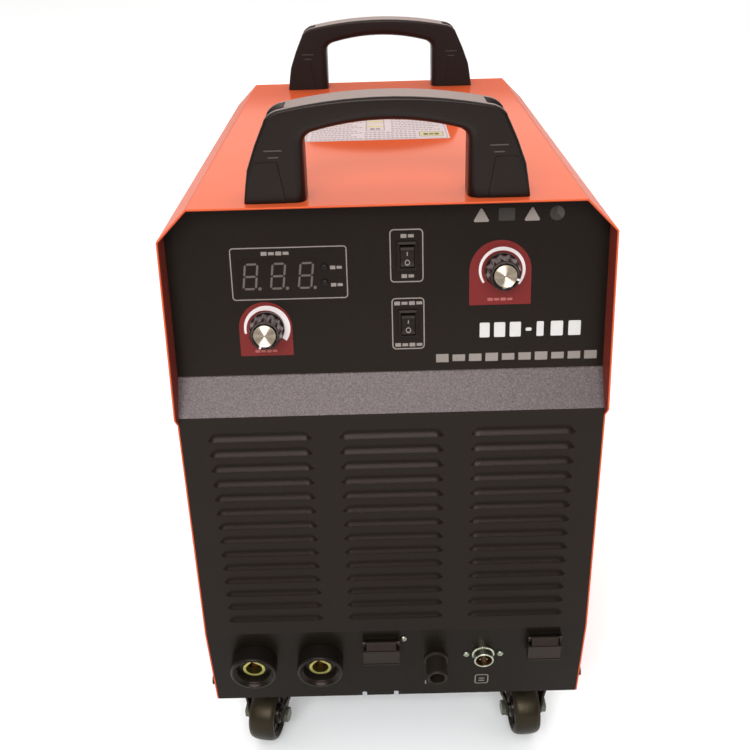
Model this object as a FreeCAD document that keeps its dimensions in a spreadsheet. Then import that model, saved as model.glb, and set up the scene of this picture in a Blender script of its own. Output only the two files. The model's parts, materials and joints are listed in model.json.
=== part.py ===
import FreeCAD, Part
import math
import os
import re
import Sketcher
from FreeCAD import Placement, Rotation, Vector

# A plasma cutter unit on four casters: a steel cabinet with an inverter above and an air compressor below.
# Cabinet coordinates: x to the right, y from the louvred front plane to the back, z up from the underside
# of the base tray. The part's own origin is on the floor, in the middle of the whole unit.

DIMENSIONS = {
    "cabinet": [
        ("body_width", 320), ("body_depth", 490), ("body_height", 450), ("caster_height", 68),
        ("front_plane", -250), ("shoulder", 22), ("cover_gauge", 1.2), ("panel_gauge", 1.5),
        ("tray_gauge", 2), ("panel_gap", 0.2), ("visor_reach", 9), ("visor_low", 296), ("visor_foot", 287),
        ("visor_top_set", 9.5), ("control_low_set", 15.7), ("control_low", 319.5),
        ("control_top_set", 29.53), ("control_top", 445), ("band_low", 293), ("crease", 86.2),
        ("foot_set", 15.1), ("shelf_height", 212), ("tray_flange", 26), ("side_screw_set", 21),
        ("side_screw_up", 17),
    ],
    "louvres": [
        ("louvre_width", 77), ("louvre_rise", 8), ("louvre_reach", 4), ("louvre_pitch", 13.25),
        ("louvre_first", 101), ("louvre_column", 99.3), ("louvre_slope", 3), ("louvre_skin", 1.1),
        ("louvre_rows", 14), ("louvre_columns", 3),
    ],
    "handles": [
        ("handle_half", 99), ("handle_depth", 33), ("handle_rise", 71), ("grip_rise", 54.4),
        ("grip_half", 54), ("front_handle_set", 35), ("rear_handle_set", 466.5), ("handle_screw_x", 76),
        ("handle_screw_y", 9), ("handle_screw_radius", 2.5), ("handle_edge", 2.5),
    ],
    "control panel": [
        ("display_x", -79.9), ("display_up", 74.7), ("display_width", 58.2), ("display_tall", 28.8),
        ("knob_radius", 13), ("knob_rise", 19), ("cap_radius", 8.2), ("spindle_radius", 3),
        ("gas_knob_x", -89.3), ("gas_knob_up", 37), ("current_knob_x", 82.3), ("current_knob_up", 76.2),
        ("flutes", 12), ("flute_radius", 3.4), ("rocker_x", 14.2), ("mode_rocker_up", 88.1),
        ("air_rocker_up", 37.5), ("rocker_frame_width", 15), ("rocker_frame_tall", 21),
        ("rocker_tilt", 10), ("lamp_x", -45.3), ("lamp_low_up", 70), ("lamp_pitch", 11.5),
        ("lamp_radius", 2), ("running_gap", 0.05),
    ],
    "socket panel": [
        ("negative_x", -121.5), ("positive_x", -65), ("output_up", 52.5), ("collar_radius", 19.5),
        ("insert_radius", 9.5), ("insert_reach", 8.4), ("plug_bore", 6.5), ("output_reach", 15.2),
        ("torch_x", 34.2),
        ("torch_up", 48.25), ("torch_radius", 8.75), ("torch_reach", 20.5), ("torch_bore", 6.2),
        ("switch_x", 74.5), ("switch_up", 54.2), ("switch_radius", 8.5), ("switch_reach", 8),
        ("switch_screw_pitch", 14.5), ("pilot_x", -12.5), ("pilot_top", 79.6), ("pilot_half", 15.5),
        ("remote_x", 124.8), ("remote_top", 81), ("remote_half", 14), ("hood_tall", 25),
        ("hood_reach", 9.5), ("hood_skin", 1.5), ("hood_pin_drop", 2.6), ("hood_pin_out", 4.2),
    ],
    "casters": [
        ("wheel_radius", 25), ("wheel_half", 12), ("hub_half", 13), ("axle_radius", 4), ("trail", 22),
        ("caster_x", 115.6), ("front_caster_set", 62.5), ("rear_caster_set", 428), ("left_swing", -12),
        ("right_swing", 4.5), ("fork_gap", 14), ("fork_skin", 2.5), ("race_radius", 21),
        ("kingpin_radius", 5), ("plate_half_x", 30), ("plate_half_y", 24), ("plate_gauge", 3),
        ("caster_bolt_x", 22.5), ("caster_bolt_y", 17), ("caster_bolt_radius", 3), ("crown_drop", 8.3),
    ],
    "inside": [
        ("fan_half", 75), ("fan_depth", 38), ("fan_bore", 70), ("fan_x", 0), ("fan_up", 320),
        ("fan_hub", 27), ("fan_tip", 67), ("fan_blades", 7), ("fan_shaft", 4), ("guard_wire", 1.3),
        ("sink_length", 200), ("sink_width", 120), ("sink_tall", 70), ("sink_fins", 15),
        ("pump_x", -30), ("pump_set", 150), ("pump_axis_up", 92), ("pump_radius", 46),
        ("pump_length", 120), ("pump_fan_tip", 42), ("hose_radius", 4), ("hose_bend", 15),
        ("regulator_x", 95), ("regulator_set", 330), ("regulator_up", 128),
    ],
    "rear": [
        ("breaker_x", 100), ("breaker_up", 120), ("breaker_width", 54), ("breaker_tall", 80),
        ("gland_x", -100), ("gland_up", 120), ("gland_reach", 25), ("gland_bore", 7), ("gland_hex", 14),
        ("inlet_x", -100), ("inlet_up", 60), ("inlet_reach", 22), ("inlet_barb", 4.5),
    ],
}

doc = FreeCAD.newDocument("plasma_cutter")
sheet = doc.addObject("Spreadsheet::Sheet", "Dimensions")
ALIASES = set()
row = 0
for section, entries in DIMENSIONS.items():
    row += 1
    sheet.set(f"A{row}", section)
    for alias, amount in entries:
        row += 1
        sheet.set(f"A{row}", alias)
        sheet.set(f"B{row}", str(amount))
        sheet.setAlias(f"B{row}", alias)
        ALIASES.add(alias)
doc.recompute()


# ---- formulas, primitives and features -------------------------------------------------------------

def bind(formula):
    """The formula with each alias written as a reference to the sheet."""
    return re.sub(r"[a-z_]+", lambda word: "Dimensions." * (word.group() in ALIASES) + word.group(),
                  str(formula))


def size(formula):
    """The value of a formula, in millimetres or degrees."""
    return float(sheet.evalExpression(bind(formula)))


def bind_all(thing, **formulas):
    for name, formula in formulas.items():
        thing.setExpression(name, bind(formula))


def put(thing, at, axis="z"):
    """Stand a primitive that grows along +Z at a point, growing along another axis instead."""
    directions = {"x": Vector(1, 0, 0), "y": Vector(0, 1, 0), "z": Vector(0, 0, 1)}
    thing.Placement = Placement(Vector(), Rotation(Vector(0, 0, 1), directions[axis]))
    for letter, formula in zip("xyz", at):
        thing.setExpression("Placement.Base." + letter, bind(formula))
    return thing


def block(x, y, z):
    """A box between pairs of formulas."""
    thing = doc.addObject("Part::Box", "Block")
    bind_all(thing, Length=f"({x[1]}) - ({x[0]})", Width=f"({y[1]}) - ({y[0]})",
             Height=f"({z[1]}) - ({z[0]})")
    return put(thing, (x[0], y[0], z[0]))


def rod(radius, at, length, axis="z"):
    thing = doc.addObject("Part::Cylinder", "Rod")
    bind_all(thing, Radius=radius, Height=length)
    return put(thing, at, axis)


def cone(low_radius, high_radius, at, length, axis="z"):
    thing = doc.addObject("Part::Cone", "Cone")
    bind_all(thing, Radius1=low_radius, Radius2=high_radius, Height=length)
    return put(thing, at, axis)


def hexagon(radius, at, length, axis="z"):
    """A hexagonal bar, radius to its corners."""
    thing = doc.addObject("Part::Prism", "Hexagon")
    thing.Polygon = 6
    bind_all(thing, Circumradius=radius, Height=length)
    return put(thing, at, axis)


def joined(things, frame=Placement()):
    """Several solids fused into one."""
    if len(things) == 1 and frame.isIdentity():
        return things[0]
    thing = doc.addObject("Part::MultiFuse" if len(things) > 1 else "Part::Compound", "Joined")
    if len(things) > 1:
        thing.Shapes = things
    else:
        thing.Links = things
    thing.Placement = frame
    return thing


def less(base, tools, frame=Placement()):
    """A solid with other solids, given in a frame of their own, cut out of it."""
    thing = doc.addObject("Part::Cut", "Less")
    thing.Base = base
    thing.Tool = joined(tools, frame)
    return thing


def inside_of(base, limit):
    thing = doc.addObject("Part::Common", "Inside")
    thing.Base = base
    thing.Tool = limit
    return thing


def group(things, frame=Placement()):
    """Separate solids that share a node."""
    thing = doc.addObject("Part::Compound", "Group")
    thing.Links = things
    thing.Placement = frame
    return thing


def origin_part(body, role):
    return next(item for item in body.Origin.OriginFeatures if item.Role == role)


def polygon_sketch(body, plane, outline):
    """A closed outline of straight edges, each corner bound to its pair of formulas."""
    sketch = body.newObject("Sketcher::SketchObject", "Outline")
    sketch.AttachmentSupport = [(origin_part(body, plane), "")]
    sketch.MapMode = "FlatFace"
    corners = [Vector(size(across), size(up), 0) for across, up in outline]
    count = len(corners)
    for i in range(count):
        sketch.addGeometry(Part.LineSegment(corners[i], corners[(i + 1) % count]), False)
    for i in range(count):
        sketch.addConstraint(Sketcher.Constraint("Coincident", i, 2, (i + 1) % count, 1))
    for i in range(count):
        pairs = (("DistanceX", outline[i][0], corners[i].x, -2), ("DistanceY", outline[i][1], corners[i].y, -1))
        for kind, formula, amount, axis in pairs:
            if abs(amount) < 1e-9:
                sketch.addConstraint(Sketcher.Constraint("PointOnObject", i, 1, axis))
                continue
            index = sketch.addConstraint(Sketcher.Constraint(kind, -1, 1, i, 1, amount))
            sketch.setExpression(f"Constraints[{index}]", bind(formula))
    return sketch


def prism(plane, outline, length):
    """An outline padded by half its length to each side of its plane."""
    body = doc.addObject("PartDesign::Body", "Prism")
    pad = body.newObject("PartDesign::Pad", "Pad")
    pad.Profile = polygon_sketch(body, plane, outline)
    pad.Midplane = True
    bind_all(pad, Length=length)
    return body


def turned(outline):
    """An outline of radius and height pairs, turned about Z."""
    body = doc.addObject("PartDesign::Body", "Turned")
    spin = body.newObject("PartDesign::Revolution", "Spin")
    spin.Profile = polygon_sketch(body, "XZ_Plane", outline)
    spin.ReferenceAxis = (origin_part(body, "Z_Axis"), [""])
    spin.Angle = 360
    return body


NODES = []


def node(label, thing, frame=Placement()):
    """A sub-part: its name and its place."""
    if thing.ExpressionEngine:
        thing = group([thing])
    thing.Label = label
    thing.Placement = frame.multiply(thing.Placement)
    NODES.append(thing)
    return thing


CABINET = Placement(Vector(0, size("front_plane"), size("caster_height")), Rotation())
control_lean = math.degrees(math.atan2(size("control_top_set - control_low_set"),
                                       size("control_top - control_low")))
socket_tilt = math.degrees(math.atan2(size("foot_set"), size("crease")))
# On a panel, x runs across, y up the face and z straight out of it.
CONTROL = Placement(Vector(0, size("control_low_set"), size("control_low")),
                    Rotation(Vector(1, 0, 0), 90 - control_lean))
SOCKET = Placement(Vector(0, size("foot_set"), 0), Rotation(Vector(1, 0, 0), 90 + socket_tilt))
ON_CONTROL = CABINET.multiply(CONTROL)
ON_SOCKET = CABINET.multiply(SOCKET)

SIDES = (-1, 1)
INNER = "body_width / 2 - cover_gauge - panel_gap"
HANDLE_SETS = ("front_handle_set", "rear_handle_set")
SIDE_SCREWS = [(y, "side_screw_up") for y in ("side_screw_set", "body_depth / 2",
                                             "body_depth - side_screw_set")]


def handle_screw_spots():
    return [(f"{i} * handle_screw_x", f"{middle} + {j} * handle_screw_y")
            for middle in HANDLE_SETS for i in SIDES for j in SIDES]


# ---- casing -----------------------------------------------------------------------------------------

def base_tray():
    floor = block((f"-({INNER})", INNER), ("foot_set + 2 * panel_gauge", "body_depth - panel_gauge * 2"),
                  (0, "tray_gauge"))
    flanges = [block((f"{i} * ({INNER}) - {max(i, 0)} * panel_gauge",
                      f"{i} * ({INNER}) + {max(-i, 0)} * panel_gauge"),
                     ("foot_set + 2 * panel_gauge", "body_depth - panel_gauge * 3"),
                     ("tray_gauge", "tray_flange")) for i in SIDES]
    bolts = [rod("caster_bolt_radius", (x, y, -1), "tray_gauge + 2") for x, y in caster_bolt_spots()]
    screws = [rod(1.5, ("-body_width / 2", y, z), "body_width", "x") for y, z in SIDE_SCREWS]
    node("base_tray", less(joined([floor] + flanges), bolts + screws), CABINET)


def top_cover():
    inner_half = "body_width / 2 - cover_gauge"
    inner_top = "body_height - cover_gauge"
    inner_shoulder = "shoulder - cover_gauge * 0.414"
    hoop = prism("XZ_Plane", [
        ("-body_width / 2", 0), ("-body_width / 2", "body_height - shoulder"),
        ("-body_width / 2 + shoulder", "body_height"), ("body_width / 2 - shoulder", "body_height"),
        ("body_width / 2", "body_height - shoulder"), ("body_width / 2", 0), (inner_half, 0),
        (inner_half, f"{inner_top} - ({inner_shoulder})"), (f"{inner_half} - ({inner_shoulder})", inner_top),
        (f"-({inner_half}) + ({inner_shoulder})", inner_top),
        (f"-({inner_half})", f"{inner_top} - ({inner_shoulder})"), (f"-({inner_half})", 0),
    ], "2 * body_depth")
    side = prism("YZ_Plane", [
        ("foot_set", 0), (0, "crease"), (0, "visor_foot"), ("-visor_reach", "visor_low"),
        ("visor_top_set", "body_height"), ("body_depth", "body_height"), ("body_depth", 0),
    ], "body_width * 2")
    screws = [rod(1.5, ("-body_width", y, z), "body_width * 2", "x") for y, z in SIDE_SCREWS]
    handle_holes = [rod("handle_screw_radius", (x, y, "body_height - 5"), 10)
                    for x, y in handle_screw_spots()]
    node("top_cover", less(inside_of(hoop, side), screws + handle_holes), CABINET)


def louvre_spots():
    rows = int(size("louvre_rows"))
    columns = int(size("louvre_columns"))
    return [(f"{column - (columns - 1) / 2} * louvre_column", f"louvre_first + {line} * louvre_pitch")
            for column in range(columns) for line in range(rows)]


def louvre_wedge(x, z, inset):
    """The pressed hood of one louvre, or with an inset the hollow under it."""
    wedge = doc.addObject("Part::Wedge", "Louvre")
    half = f"louvre_width / 2 - {inset}"
    bind_all(wedge, Xmin=f"-({half})", Xmax=half, X2min=f"-({half}) + louvre_slope",
             X2max=f"{half} - louvre_slope", Ymin=f"{-0.5 if not inset else -2.5}",
             Ymax=f"louvre_reach - {inset}", Zmin=-0.5 if inset else 0, Zmax=f"louvre_rise - {inset}",
             Z2min=-0.5 if inset else 0, Z2max=f"0.3 + {0 if inset else 0.6}")
    flip = group([wedge])
    flip.Placement = Placement(Vector(size(x), 0, size(z)), Rotation(Vector(0, 0, 1), 180))
    return flip


def front_panel():
    sheet_metal = prism("YZ_Plane", [
        (0, "band_low - panel_gauge"), (0, "crease"), ("foot_set", 0), ("foot_set + panel_gauge", 0),
        ("panel_gauge", "crease + 0.1"), ("panel_gauge", "band_low - panel_gauge"),
    ], f"2 * ({INNER})")
    hoods = [louvre_wedge(x, z, 0) for x, z in louvre_spots()]
    hollows = [louvre_wedge(x, z, "louvre_skin") for x, z in louvre_spots()]
    deep = 60
    holes = [rod("12", (x, "output_up", -deep / 2), deep) for x in ("negative_x", "positive_x")]
    holes.append(rod("torch_bore", ("torch_x", "torch_up", -deep / 2), deep))
    holes.append(rod("switch_radius", ("switch_x", "switch_up", -deep / 2), deep))
    holes += [rod(1.5, (x, y, -deep / 2), deep) for x, y in small_screw_spots()]
    notches = [block((f"{x} - 2", f"{x} + 2"), (-5, 2), (-5, 5)) for x in (-28.5, -0.5)]
    node("front_panel", less(less(joined([sheet_metal] + hoods), hollows), holes + notches, SOCKET), CABINET)


def control_panel():
    bent = prism("YZ_Plane", [
        (0, "band_low"), ("control_low_set", "control_low"), ("control_top_set", "control_top"),
        ("control_top_set + panel_gauge", "control_top"), ("control_low_set + panel_gauge", "control_low - 0.5"),
        ("panel_gauge", "band_low"),
    ], f"2 * ({INNER})")
    deep = 40
    window = block(("display_x - display_width / 2", "display_x + display_width / 2"),
                   ("display_up - display_tall / 2", "display_up + display_tall / 2"), (-deep / 2, deep / 2))
    lamps = [rod("lamp_radius", ("lamp_x", f"lamp_low_up + {i} * lamp_pitch", -deep / 2), deep)
             for i in range(2)]
    pots = [rod(4.7, (x, y, -deep / 2), deep)
            for x, y in (("gas_knob_x", "gas_knob_up"), ("current_knob_x", "current_knob_up"))]
    rockers = [block(("rocker_x - rocker_frame_width / 2 + 1", "rocker_x + rocker_frame_width / 2 - 1"),
                     (f"{y} - rocker_frame_tall / 2 + 1", f"{y} + rocker_frame_tall / 2 - 1"),
                     (-deep / 2, deep / 2)) for y in ("mode_rocker_up", "air_rocker_up")]
    corners = [prism("XZ_Plane", [
        (f"{i} * (body_width / 2 - shoulder - cover_gauge - 2)", "body_height"),
        (f"{i} * (body_width / 2)", "body_height"),
        (f"{i} * (body_width / 2)", "body_height - shoulder - cover_gauge - 2"),
    ], "body_depth * 2") for i in SIDES]
    node("control_panel", less(less(bent, [window] + lamps + pots + rockers, CONTROL), corners), CABINET)


def rear_panel():
    face = "body_depth - panel_gauge"
    half = INNER
    top = "body_height - cover_gauge - panel_gap"
    plate = prism("XZ_Plane", [
        (f"-({half})", "tray_gauge + panel_gap"), (f"-({half})", f"{top} - shoulder"),
        (f"-({half}) + shoulder", top), (f"{half} - shoulder", top), (half, f"{top} - shoulder"),
        (half, "tray_gauge + panel_gap"),
    ], "panel_gauge")
    plate.Placement = Placement(Vector(0, size("body_depth - panel_gauge / 2"), 0), Rotation())
    through = f"{face} - 1"
    deep = "panel_gauge + 2"
    holes = [
        rod("fan_bore", ("fan_x", through, "fan_up"), deep, "y"),
        rod("gland_bore + 3", ("gland_x", through, "gland_up"), deep, "y"),
        rod("inlet_barb + 2", ("inlet_x", through, "inlet_up"), deep, "y"),
        block(("breaker_x - breaker_width / 2", "breaker_x + breaker_width / 2"),
              (through, f"{through} + {deep}"),
              ("breaker_up - breaker_tall / 2", "breaker_up + breaker_tall / 2")),
    ]
    slots = [block((f"{x - 1.5}", f"{x + 1.5}"), (through, f"{through} + {deep}"), (40, 110))
             for x in range(-52, 53, 8)]
    node("rear_panel", less(plate, holes + slots), CABINET)


def mid_shelf():
    plate = block((f"-({INNER}) + 1", f"{INNER} - 1"), (12, "body_depth - fan_depth - 16"),
                  ("shelf_height", "shelf_height + panel_gauge"))
    flange = block((f"-({INNER}) + 1", f"{INNER} - 1"), (12, "12 + panel_gauge"),
                   ("shelf_height - 14", "shelf_height"))
    cable_holes = [rod(12, (x, y, "shelf_height - 5"), 10) for x, y in ((-120, 60), (120, 340))]
    node("mid_shelf", less(joined([plate, flange]), cable_holes), CABINET)


def handle_outline():
    """Half of a handle's front outline as edges, from the foot's outer corner to the middle of the crown."""
    half, rise = size("handle_half"), size("handle_rise")
    waist = Vector(half - 5, 23, 0)
    corner_low = Vector(half - 18, rise - 17, 0)
    corner_high = Vector(half - 27, rise - 8, 0)
    corner_bulge = Vector(half - 21.2, rise - 11.6, 0)
    crown = Vector(0, rise, 0)
    return half, waist, corner_low, corner_bulge, corner_high, crown


def handle(label, middle):
    half, waist, corner_low, corner_bulge, corner_high, crown = handle_outline()
    grip, ceiling = size("grip_half"), size("grip_rise")
    spring_low = Vector(grip, ceiling - 15.4, 0)
    spring_bulge = Vector(grip - 2, ceiling - 9.4, 0)
    spring_high = Vector(grip - 8, ceiling - 6.2, 0)
    top = Vector(0, ceiling, 0)

    def mirror(point):
        return Vector(-point.x, point.y, 0)

    foot, heel = Vector(half, 0, 0), Vector(grip, 0, 0)
    edges = [
        Part.LineSegment(mirror(foot), mirror(waist)), Part.LineSegment(mirror(waist), mirror(corner_low)),
        Part.Arc(mirror(corner_low), mirror(corner_bulge), mirror(corner_high)),
        Part.Arc(mirror(corner_high), crown, corner_high),
        Part.Arc(corner_high, corner_bulge, corner_low),
        Part.LineSegment(corner_low, waist), Part.LineSegment(waist, foot), Part.LineSegment(foot, heel),
        Part.LineSegment(heel, spring_low), Part.Arc(spring_low, spring_bulge, spring_high),
        Part.Arc(spring_high, top, mirror(spring_high)),
        Part.Arc(mirror(spring_high), mirror(spring_bulge), mirror(spring_low)),
        Part.LineSegment(mirror(spring_low), mirror(heel)), Part.LineSegment(mirror(heel), mirror(foot)),
    ]
    body = doc.addObject("PartDesign::Body", "Handle")
    sketch = body.newObject("Sketcher::SketchObject", "HandleOutline")
    sketch.AttachmentSupport = [(origin_part(body, "XZ_Plane"), "")]
    sketch.MapMode = "FlatFace"
    sketch.addGeometry(edges, False)
    pad = body.newObject("PartDesign::Pad", "HandlePad")
    pad.Profile = sketch
    pad.Midplane = True
    bind_all(pad, Length="handle_depth")
    doc.recompute()
    flat = size("handle_depth / 2")
    rims = [f"Edge{i + 1}" for i, edge in enumerate(pad.Shape.Edges)
            if all(abs(abs(v.Point.y) - flat) < 0.01 for v in edge.Vertexes)
            and max(v.Point.z for v in edge.Vertexes) > 1]
    rounding = body.newObject("PartDesign::Fillet", "HandleRounding")
    rounding.Base = (pad, rims)
    bind_all(rounding, Radius="handle_edge")
    holes = [rod("handle_screw_radius", (f"{i} * handle_screw_x", f"{j} * handle_screw_y", -1), 13)
             for i in SIDES for j in SIDES]
    place = Placement(Vector(0, size(middle), size("body_height")), Rotation())
    node(label, less(body, holes), CABINET.multiply(place))


def handle_screws():
    screws = []
    for x, y in handle_screw_spots():
        screws.append(joined([
            rod("handle_screw_radius", (x, y, "body_height - cover_gauge"), "12"),
            rod(4.5, (x, y, "body_height - cover_gauge - 3"), 3)]))
    node("handle_screws", group(screws), CABINET)


def cover_screws():
    screws = []
    for i in SIDES:
        for y, z in SIDE_SCREWS:
            shank = rod(1.5, (f"{i} * (body_width / 2) - {5 if i > 0 else 0}", y, z), 5, "x")
            head = rod(4, (f"{i} * (body_width / 2) - {0 if i > 0 else 3}", y, z), 3, "x")
            screws.append(joined([shank, head]))
    node("cover_screws", group(screws), CABINET)


# ---- control panel ----------------------------------------------------------------------------------

def display_module():
    face = block(("display_x - display_width / 2", "display_x + display_width / 2"),
                 ("display_up - display_tall / 2", "display_up + display_tall / 2"), (-10, 0.5))
    node("display_module", face, ON_CONTROL)


def knob(label, x, y):
    """A fluted knob with a metal cap on the end of its spindle, over a potentiometer."""
    profile = turned([
        ("spindle_radius", 6), (8, 6), (8, 0.8), ("knob_radius", 0.8), ("knob_radius", 4),
        ("knob_radius - 1", 5), ("knob_radius - 1.6", "knob_rise - 2"), ("knob_radius - 2.8", "knob_rise"),
        ("cap_radius", "knob_rise"), ("cap_radius", "knob_rise - 1.2"), ("spindle_radius", "knob_rise - 1.2"),
    ])
    count = int(size("flutes"))
    grooves = []
    for i in range(count):
        turn = 2 * math.pi * i / count
        grooves.append(rod("flute_radius", (f"(knob_radius + 1.2) * {math.cos(turn):.6f}",
                                            f"(knob_radius + 1.2) * {math.sin(turn):.6f}", 5.5), "knob_rise"))
    spindle = turned([
        (0, -13), ("spindle_radius", -13), ("spindle_radius", "knob_rise - 1.2"),
        ("cap_radius", "knob_rise - 1.2"), ("cap_radius", "knob_rise + 0.3"),
        ("cap_radius - 0.6", "knob_rise + 0.9"), (0, "knob_rise + 0.9"),
    ])
    place = ON_CONTROL.multiply(Placement(Vector(size(x), size(y), 0), Rotation()))
    node(label, less(profile, grooves), place)
    node(label + "_spindle", spindle, place)


def potentiometers():
    pots = []
    for x, y in (("gas_knob_x", "gas_knob_up"), ("current_knob_x", "current_knob_up")):
        can = rod(12, (x, y, -15), "12 + 1.5 - panel_gauge")
        bush = rod(4.7, (x, y, "-1.6 - panel_gauge"), "6.1 + panel_gauge")
        nut = hexagon(6.4, (x, y, 0), 2)
        pots.append(less(joined([can, bush, nut]), [rod("spindle_radius + running_gap", (x, y, -14), 20)]))
    node("potentiometers", group(pots), ON_CONTROL)


def rocker_switch(label, up):
    """A two-position rocker in a flanged frame, its lower end pressed in."""
    flange = block(("-rocker_frame_width / 2", "rocker_frame_width / 2"),
                   ("-rocker_frame_tall / 2", "rocker_frame_tall / 2"), (0, 2))
    box = block(("-rocker_frame_width / 2 + 1", "rocker_frame_width / 2 - 1"),
                ("-rocker_frame_tall / 2 + 1", "rocker_frame_tall / 2 - 1"), (-16, 0))
    well = block((-5.3, 5.3), (-8.6, 8.6), (-9, 3))
    pin_holes = rod("1.2 + running_gap", (-7, 0, -1), 14, "x")
    blades = [block((-3, 3), (f"{y} - 0.4", f"{y} + 0.4"), (-24, -16)) for y in (-6, 0, 6)]
    place = ON_CONTROL.multiply(Placement(Vector(size("rocker_x"), size(up), 0), Rotation()))
    node(label + "_frame", less(joined([flange, box] + blades), [well, pin_holes]), place)
    paddle = prism("YZ_Plane", [
        (-7.6, -1), (-7.6, 4), (-6.8, 4.6), (0, 2.6), (6.8, 4.6), (7.6, 4), (7.6, -1), (0, -3),
    ], 10)
    pins = rod(1.2, (-6.2, 0, 0), 12.4, "x")
    tilted = Placement(Vector(0, 0, -1), Rotation(Vector(1, 0, 0), size("rocker_tilt")))
    node(label + "_rocker", joined([paddle, pins]), place.multiply(tilted))


def control_board():
    board = block((-128, 60), (6, 112), (-18, -16.4))
    lamps = [rod("lamp_radius", ("lamp_x", f"lamp_low_up + {i} * lamp_pitch", -16.4), 17.4) for i in range(2)]
    chips = [block((x, x + 20), (y, y + 12), (-22, -18)) for x, y in ((-110, 20), (-70, 20), (-40, 70))]
    row_of_pins = block((-30, -10), (14, 22), (-16.4, -8))
    gaps = [rod(12.5, (x, y, -19), 4) for x, y in (("gas_knob_x", "gas_knob_up"),)]
    gaps += [block(("rocker_x - 9", "rocker_x + 9"), (f"{y} - 12", f"{y} + 12"), (-19, -15))
             for y in ("mode_rocker_up", "air_rocker_up")]
    node("control_board", less(joined([board, row_of_pins] + lamps + chips), gaps), ON_CONTROL)


# ---- socket panel -----------------------------------------------------------------------------------

def small_screw_spots():
    return [("switch_x - switch_screw_pitch", "switch_up"), ("switch_x + switch_screw_pitch", "switch_up"),
            (6.6, 76.8)]


def output_sockets():
    """Two round collars, each around a brass insert that sits back inside its rim."""
    collars, inserts = [], []
    for x in ("negative_x", "positive_x"):
        place = Placement(Vector(size(x), size("output_up"), 0), Rotation())
        front = turned([
            ("insert_radius", "-panel_gauge"), (12, "-panel_gauge"), (12, 0), ("collar_radius", 0),
            ("collar_radius", "output_reach - 2.2"), ("collar_radius - 1.1", "output_reach"),
            ("collar_radius - 2.7", "output_reach"), ("collar_radius - 4.5", "output_reach - 2.6"),
            ("collar_radius - 6.6", "insert_reach - 1.4"), ("insert_radius", "insert_reach - 1.4"),
        ])
        back = turned([
            ("insert_radius", -7), ("collar_radius - 2", -7), ("collar_radius - 2", "-panel_gauge"),
            ("insert_radius", "-panel_gauge"),
        ])
        for ring in (front, back):
            ring.Placement = place
            collars.append(ring)
        barrel = turned([
            (0, -16), ("plug_bore", -16), ("plug_bore", "insert_reach - 0.8"),
            ("plug_bore + 0.8", "insert_reach"), ("insert_radius", "insert_reach"), ("insert_radius", -24),
            (5, -24), (5, -38), (0, -38),
        ])
        keyway = block((-2, 2), (0, "plug_bore + 1.8"), (-6, "insert_reach + 2"))
        nut = hexagon(9, (0, 0, -30), 5)
        insert = less(joined([barrel, nut]), [keyway])
        insert.Placement = place
        inserts.append(insert)
    node("output_socket_collars", group(collars), ON_SOCKET)
    node("output_socket_inserts", group(inserts), ON_SOCKET)


def torch_outlet():
    place = ON_SOCKET.multiply(Placement(Vector(size("torch_x"), size("torch_up"), 0), Rotation()))
    collar = turned([
        (5, "-panel_gauge"), ("torch_bore", "-panel_gauge"), ("torch_bore", 0), ("torch_radius", 0),
        ("torch_radius", "torch_reach - 0.8"), ("torch_radius - 0.8", "torch_reach"),
        ("torch_bore", "torch_reach"), ("torch_bore", 7), (5, 7),
    ])
    nipple = turned([
        (2.5, -24), (4, -24), (4, -10), (5, -10), (5, -1.5), (5, 7), (2.5, 7),
    ])
    nut = less(hexagon(10, (0, 0, -6), "6 - panel_gauge"), [rod(5, (0, 0, -8), 8)])
    node("torch_outlet_collar", collar, place)
    node("torch_outlet_nipple", joined([nipple, nut]), place)


def torch_switch_socket():
    shell = turned([
        (0, -14), (6, -14), ("switch_radius", -9), ("switch_radius", "switch_reach - 0.6"),
        ("switch_radius - 0.6", "switch_reach"), ("switch_radius - 1.6", "switch_reach"),
        ("switch_radius - 1.6", -2), (0, -2),
    ])
    pins = [rod(0.9, (3.4 * math.cos(turn), 3.4 * math.sin(turn), -2), 7)
            for turn in (math.pi / 2, math.pi * 7 / 6, math.pi * 11 / 6)]
    flange = block((-18.5, 18.5), (-10, 10), ("-panel_gauge - 2", "-panel_gauge"))
    screw_holes = [rod(1.5, (f"{i} * switch_screw_pitch", 0, -6), 8) for i in SIDES]
    place = ON_SOCKET.multiply(Placement(Vector(size("switch_x"), size("switch_up"), 0), Rotation()))
    node("torch_switch_socket", less(joined([shell, flange] + pins), screw_holes), place)


def connector_screws():
    screws = [joined([rod(1.5, (x, y, -4), 4), rod(2.6, (x, y, 0), 1.4)]) for x, y in small_screw_spots()]
    node("connector_screws", group(screws), ON_SOCKET)


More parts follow.
